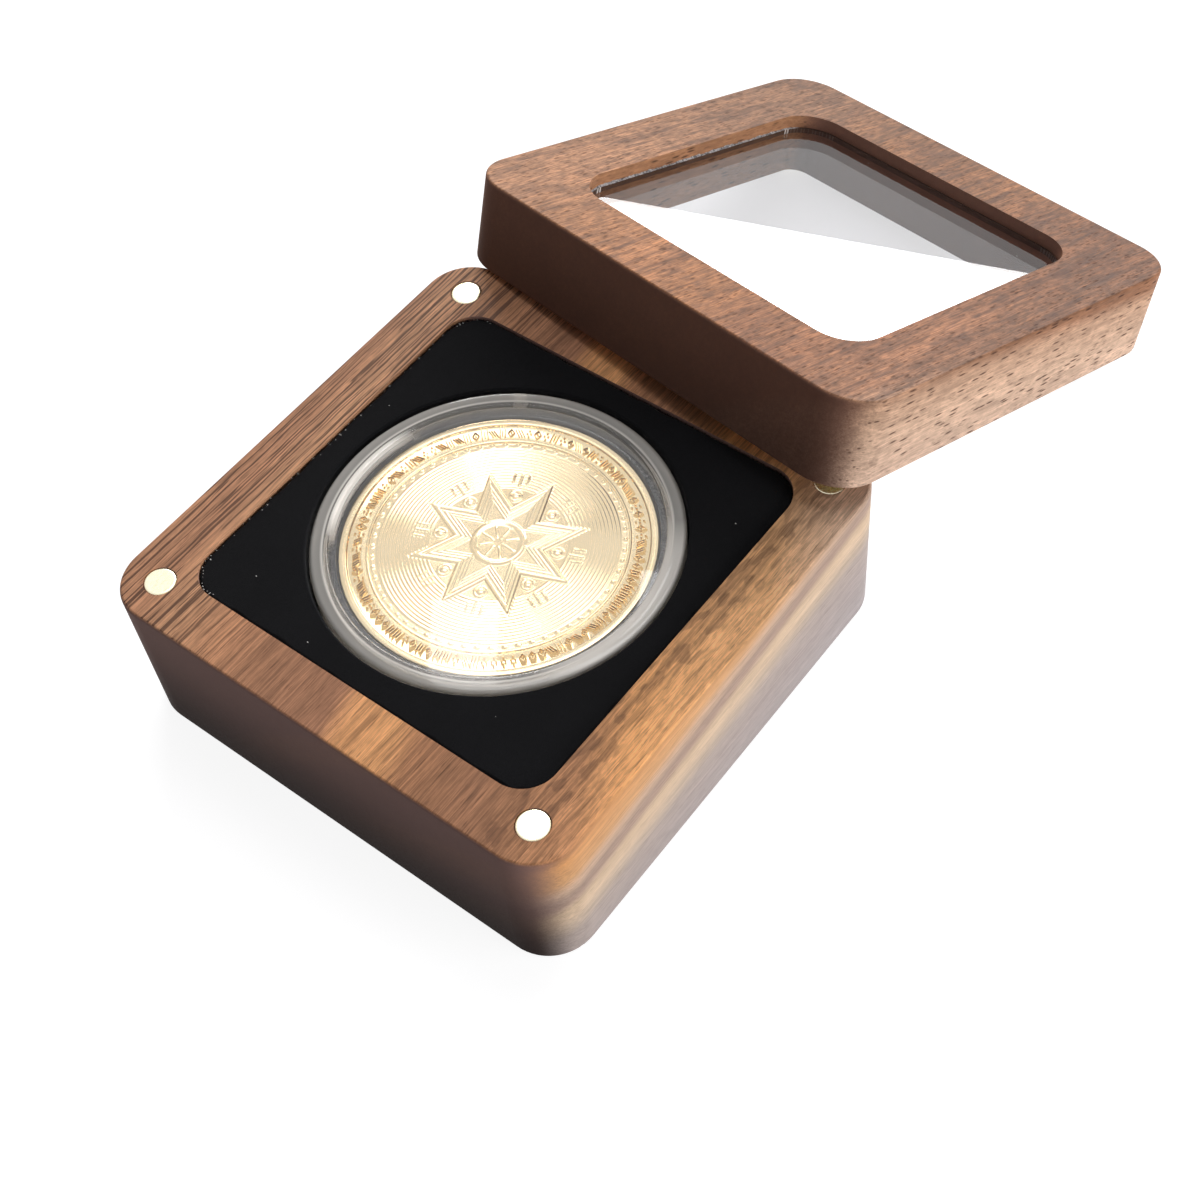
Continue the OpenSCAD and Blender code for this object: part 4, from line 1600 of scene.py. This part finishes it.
@dataclass
class WindowLid:
    """The lid: its walnut frame, the pane, the bond around the pane and four magnets."""

    bead_width_mm: tuple[float, float] = (0.0, 0.08)
    bead_height_mm: tuple[float, float] = (0.0, 0.22)
    window_corner_mm: float = 5.5
    seed: int = 5
    dust: tuple[tuple[float, float], ...] = (
        (18.3, 18.1), (12.7, 18.3), (3.6, 12.1), (0.0, 13.1), (-6.5, 10.2), (-10.2, 21.4),
        (-13.3, 17.0), (-14.3, 14.5), (-19.2, 18.0), (7.5, -6.0), (-4.0, -14.5), (15.0, 2.5),
    )
    # The pale stops up to 60.5 fall on the lid's right side face and the darker ones from 62.5 on its top.
    # Over the growth bands, the side is painted lighter than the top, as painted light from the right.
    bands: tuple[tuple[float, Colour], ...] = (
        (46.0, (236, 203, 182)),
        (56.0, (236, 197, 169)),
        (60.5, (217, 174, 144)),
        (62.5, (162, 113, 82)),
        (66.0, (156, 105, 73)),
        (71.0, (160, 107, 72)),
        (75.0, (178, 120, 78)),
        (80.0, (166, 112, 74)),
        (88.0, (172, 118, 79)),
        (98.0, (172, 123, 89)),
    )

    def __post_init__(self) -> None:
        """Reads where the lid lies from its four magnets.

        The middles of the front magnets give its X axis and those of the left ones its Y axis.
        """
        middle = {corner: sum(box_mm(f"lid_magnet_{corner}")) / 2.0 for corner in CORNERS}
        low, high = box_mm("base_magnet_front_left")
        along = middle["front_right"] - middle["front_left"]
        back = middle["back_left"] - middle["front_left"]
        x, y = along / np.linalg.norm(along), back / np.linalg.norm(back)
        z = np.cross(x, y)
        place = sum(middle.values()) / 4.0 - z * (high[2] - low[2]) / 2.0
        self.axes = np.stack([x, y, z], axis=1)
        self.place = place
        self.lying = Matrix.Translation(Vector(place * MM)) @ Matrix(self.axes.tolist()).to_4x4()
        bond = self._own(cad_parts["pane_bond"])
        self.window_half = bond[:, 0].max()
        self.pane_low, self.pane_high = bond[:, 2].min(), bond[:, 2].max()
        pane = self._own(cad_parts["window_pane"])
        self.pane_half = pane[:, 0].max()

    def _own(self, node: bpy.types.Object) -> np.ndarray:
        """Points of a node in the lid's own frame.

        Args:
            node: A node of the construction model.

        Returns:
            Its points in millimetres, with the lid's underside at height 0.
        """
        flat = np.zeros(len(node.data.vertices) * 3, np.float32)
        node.data.vertices.foreach_get("co", flat)
        return (flat.reshape(-1, 3) / MM - self.place) @ self.axes

    def _laid(self, surface: Surface) -> Surface:
        """The same surface, moved from the lid's own frame to where the lid lies."""
        return Surface(surface.points @ self.axes.T + self.place, surface.faces)

    def build(self) -> None:
        """Dresses the frame, the pane and the magnets, and makes the bond and the dust."""
        wood = Walnut(
            name="walnut_lid_oiled",
            bands=self.bands,
            heart_x_mm=52.0,
            heart_z_mm=-48.0,
            heart_rise=-0.05,
            pores=(Pores(0.5, 1.9, 0.55, 0.6, 0.28), Pores(0.4, 1.2, 0.45, 0.45, 0.3)),
            side_pores=Pores(0.55, 3.0, 0.7, 0.85, 0.27),
            streaks=(
                Streaks(1.1, 14.0, 0.38, 0.35, (-60.0, -50.0, 50.0, 60.0)),
                Streaks(2.2, 5.0, 0.42, 0.25, (-60.0, -50.0, 50.0, 60.0)),
            ),
            thickness_mm=12.0,
            lying=self.lying,
            flame=0.35,
            mottle=0.48,
            fibre=0.6,
            side_calm=0.5,
            pale_gain=1.0,
            far_tone=0.62,
            painted_side_light=0.84,
            end_tone=(138, 101, 88),
            painted_foot_shade=0.6,
            pore_colour=(66, 42, 34),
            gloss=0.15,
        )
        dress(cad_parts["lid_frame"], wood.material())
        # The pane's rim is painted with the shaded wall's colour, as painted shade.
        pane = ClearPlastic("clear_sheet", polish=0.0, rubbed=0.03, lying=self.lying, glued_rim_shade=(62, 44, 38))
        dress(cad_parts["window_pane"], pane.material())
        nickel = Nickel("nickel_plate_lid").material()
        for corner in CORNERS:
            dress(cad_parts[f"lid_magnet_{corner}"], nickel)
        log.info("lid: walnut frame, pane and four magnets dressed")
        half = self.window_half
        # The bond is painted silvery, as a painted glint, only near the lid's left side.
        bond = Bond(self.lying, (-0.99 * half, -0.96 * half), self.pane_high)
        settle(self._bond(), "lid", bond.material(), ("pane_bond",))
        dust = self._laid(specks(np.array(self.dust), self.pane_high + 0.03, 0.07, self.seed))
        settle(dust.piece("pane_dust"), "lid", Lint("pale_dust").material())

    def _bond(self) -> bpy.types.Object:
        """The bond around the pane, with the bead that was squeezed out on top of it.

        Its section is carried along the window's outline. It fills the gap beside the pane and
        ends in a hollow fillet on the pane, whose width and height are sums of sines along the
        outline, larger along the lid's left side.

        Returns:
            The bond.
        """
        path = square_path(self.window_half, self.window_corner_mm, arc_steps=24, side_steps=150)
        step = np.linalg.norm(np.diff(path[:, :2], axis=0, append=path[:1, :2]), axis=1)
        run = np.cumsum(step)
        chance = np.random.default_rng(self.seed)
        wave = np.zeros(len(path))
        for waves, height in ((9, 0.3), (23, 0.3), (57, 0.35), (131, 0.3), (240, 0.25)):
            wave += height * np.sin(FULL_TURN * waves * run / run[-1] + chance.uniform(0.0, FULL_TURN))
        left = np.clip((-path[:, 0] - 0.75 * self.window_half) / (0.2 * self.window_half), 0.0, 1.0)
        left *= np.clip((0.84 * self.window_half - np.abs(path[:, 1])) / (0.1 * self.window_half), 0.0, 1.0)
        share = np.clip(left * (0.45 + 0.6 * wave), 0.0, 1.0)
        width = self.bead_width_mm[0] + share * (self.bead_width_mm[1] - self.bead_width_mm[0])
        height = self.bead_height_mm[0] + share * (self.bead_height_mm[1] - self.bead_height_mm[0])
        gap = self.window_half - self.pane_half
        none = np.zeros(len(path))
        low, high = self.pane_low + none, self.pane_high + none
        rows = [
            (none, low), (gap + none, low), (gap + none, high + 0.01), (gap + width, high + 0.01),
            (gap * 0.6 + width * 0.55, high + 0.02 + height * 0.16),
            (gap * 0.3 + width * 0.25, high + 0.02 + height * 0.48), (none, high + 0.02 + height),
        ]
        profile = np.stack([np.stack(row, axis=1) for row in rows])
        return self._laid(carried(profile, path)).piece("window_bond", sharp_deg=50.0)


# Stage


@dataclass
class SoftBox:
    """A flat lamp, given by the edge nearest the horizon, as seen from the case."""

    name: str
    left_mm: tuple[float, float, float]
    right_mm: tuple[float, float, float]
    height_mm: float
    radiance: float
    colour: tuple[float, float, float] = (1.0, 1.0, 1.0)

    def build(self, aim_mm: np.ndarray) -> bpy.types.Object:
        """Makes the lamp.

        Its face rises from the given edge and is turned so that it looks at the case.

        Args:
            aim_mm: The point that it looks at.

        Returns:
            The lamp.
        """
        left, right = np.array(self.left_mm), np.array(self.right_mm)
        width = np.linalg.norm(right - left)
        edge = (right - left) / width
        away = (left + right) / 2.0 - aim_mm
        away -= (away @ edge) * edge
        away /= np.linalg.norm(away)
        up = np.cross(edge, away)
        up *= math.copysign(1.0, up[2])
        data = bpy.data.lights.new(self.name, "AREA")
        data.shape = "RECTANGLE"
        data.size, data.size_y = width * MM, self.height_mm * MM
        data.energy = self.radiance * math.pi * data.size * data.size_y
        data.color = self.colour
        lamp = bpy.data.objects.new(self.name, data)
        bpy.context.scene.collection.objects.link(lamp)
        turn = Matrix(np.stack([np.cross(up, away), up, away], axis=1).tolist()).to_4x4()
        centre = (left + right) / 2.0 + up * self.height_mm / 2.0
        lamp.matrix_world = Matrix.Translation(Vector(centre * MM)) @ turn
        lamp.visible_camera = False
        log.info("%s: %.0f by %.0f mm", self.name, width, self.height_mm)
        return lamp


@dataclass
class Studio:
    """Floor, light and camera. The camera stands where the photograph was taken from."""

    camera_mm: tuple[float, float, float] = (104.652, -94.398, 198.963)
    target_mm: tuple[float, float, float] = (5.277, 10.61, 0.0)
    roll_deg: float = 7.268
    focal_px: float = 1913.67
    image_px: float = 1200.0
    sensor_mm: float = 36.0
    floor_m: float = 4.0
    floor_glow: tuple[float, float] = (0.88, 0.6)
    sky: float = 0.13
    aim_mm: tuple[float, float, float] = (4.0, 30.0, 20.0)
    boxes: tuple[SoftBox, ...] = (
        SoftBox("low_window", (-650.0, 508.0, 196.0), (20.0, 836.0, 58.0), 400.0, 6.5),
        SoftBox("overhead_box", (-316.5, 205.4, 620.4), (45.5, 396.4, 592.4), 260.0, 3.3),
        SoftBox("overhead_tab", (-334.9, 252.7, 587.5), (-304.9, 268.6, 585.1), 62.0, 3.4),
        SoftBox("overhead_chip", (-253.0, 314.1, 570.2), (-225.6, 328.5, 568.1), 50.0, 3.4),
        SoftBox("right_window", (620.0, -110.0, 8.0), (620.0, 520.0, 8.0), 240.0, 8.6),
    )

    def build(self) -> None:
        """Makes the whole stage."""
        scene = bpy.context.scene
        scene.view_settings.view_transform = "Standard"
        self._camera(scene)
        self._floor()
        self._world(scene)
        for box in self.boxes:
            box.build(np.array(self.aim_mm))

    def _camera(self, scene: bpy.types.Scene) -> None:
        """Makes the camera and gives it to the scene.

        Args:
            scene: The scene.
        """
        data = bpy.data.cameras.new("camera")
        data.sensor_width = self.sensor_mm
        data.lens = self.focal_px / self.image_px * self.sensor_mm
        data.clip_start, data.clip_end = 0.005, 20.0
        camera = bpy.data.objects.new("camera", data)
        scene.collection.objects.link(camera)
        place, target = Vector(self.camera_mm) * MM, Vector(self.target_mm) * MM
        look = (target - place).to_track_quat("-Z", "Y").to_matrix()
        roll = Matrix.Rotation(-math.radians(self.roll_deg), 3, "Z")
        camera.matrix_world = Matrix.Translation(place) @ (look @ roll).to_4x4()
        scene.camera = camera

    def _floor(self) -> None:
        """Makes the pale floor, which looks white to the camera and keeps the case's shadow.

        Its glow is only seen, and lights nothing. It is weaker through the window.
        """
        half = self.floor_m / 2.0
        mesh = bpy.data.meshes.new("floor")
        corners = [(-half, -half, 0.0), (half, -half, 0.0), (half, half, 0.0), (-half, half, 0.0)]
        mesh.from_pydata(corners, [], [(0, 1, 2, 3)])
        floor = bpy.data.objects.new("floor", mesh)
        bpy.context.scene.collection.objects.link(floor)
        graph = Graph("white_table")
        cloud = graph.noise(graph.place_mm(), scale=0.02, detail=2.0)
        colour = graph.mix(cloud, linear((164, 164, 166)), linear((158, 158, 160)))
        graph.surface(base_color=colour, roughness=0.8)
        graph.surface(specular_ior_level=0.1)
        through = graph.node("ShaderNodeLightPath").outputs["Is Transmission Ray"]
        level = graph.fade(through, 0.0, 1.0, *self.floor_glow)
        strength = graph.math("MULTIPLY", self._seen(graph.tree), level)
        glow = graph.node("ShaderNodeEmission", {"Color": (1.0, 1.0, 1.0, 1.0), "Strength": strength})
        blend = graph.node("ShaderNodeAddShader", {0: graph.shader.outputs[0], 1: glow.outputs[0]})
        out = next(node for node in graph.tree.nodes if node.type == "OUTPUT_MATERIAL")
        graph.tree.links.new(blend.outputs[0], out.inputs["Surface"])
        dress(floor, graph.material)

    def _world(self, scene: bpy.types.Scene) -> None:
        """Makes the surroundings: white where they are seen, and dim as a source of light.

        Args:
            scene: The scene.
        """
        world = bpy.data.worlds.new("studio")
        world.use_nodes = True
        scene.world = world
        tree = world.node_tree
        background = tree.nodes["Background"]
        background.inputs["Color"].default_value = (1.0, 1.0, 1.0, 1.0)
        level = tree.nodes.new("ShaderNodeMapRange")
        level.inputs["To Min"].default_value = self.sky
        level.inputs["To Max"].default_value = 1.0
        tree.links.new(self._seen(tree), level.inputs["Value"])
        tree.links.new(level.outputs[0], background.inputs["Strength"])

    @staticmethod
    def _seen(tree: bpy.types.NodeTree) -> Socket:
        """Whether a ray comes from the camera, a reflection or through something clear.

        Args:
            tree: The nodes that need it.

        Returns:
            A number, 1 for such a ray and 0 for any other.
        """
        rays = tree.nodes.new("ShaderNodeLightPath").outputs
        seen = rays["Is Camera Ray"]
        for kind in ("Is Glossy Ray", "Is Transmission Ray"):
            either = tree.nodes.new("ShaderNodeMath")
            either.operation = "MAXIMUM"
            tree.links.new(seen, either.inputs[0])
            tree.links.new(rays[kind], either.inputs[1])
            seen = either.outputs[0]
        return seen


def main() -> None:
    """Builds every sub-assembly and the stage."""
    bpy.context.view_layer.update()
    Studio().build()
    WalnutBase().build()
    FlockedInsert().build()
    CoinCapsule().build()
    StruckCoin().build()
    WindowLid().build()


if __name__ == "__main__":
    main()
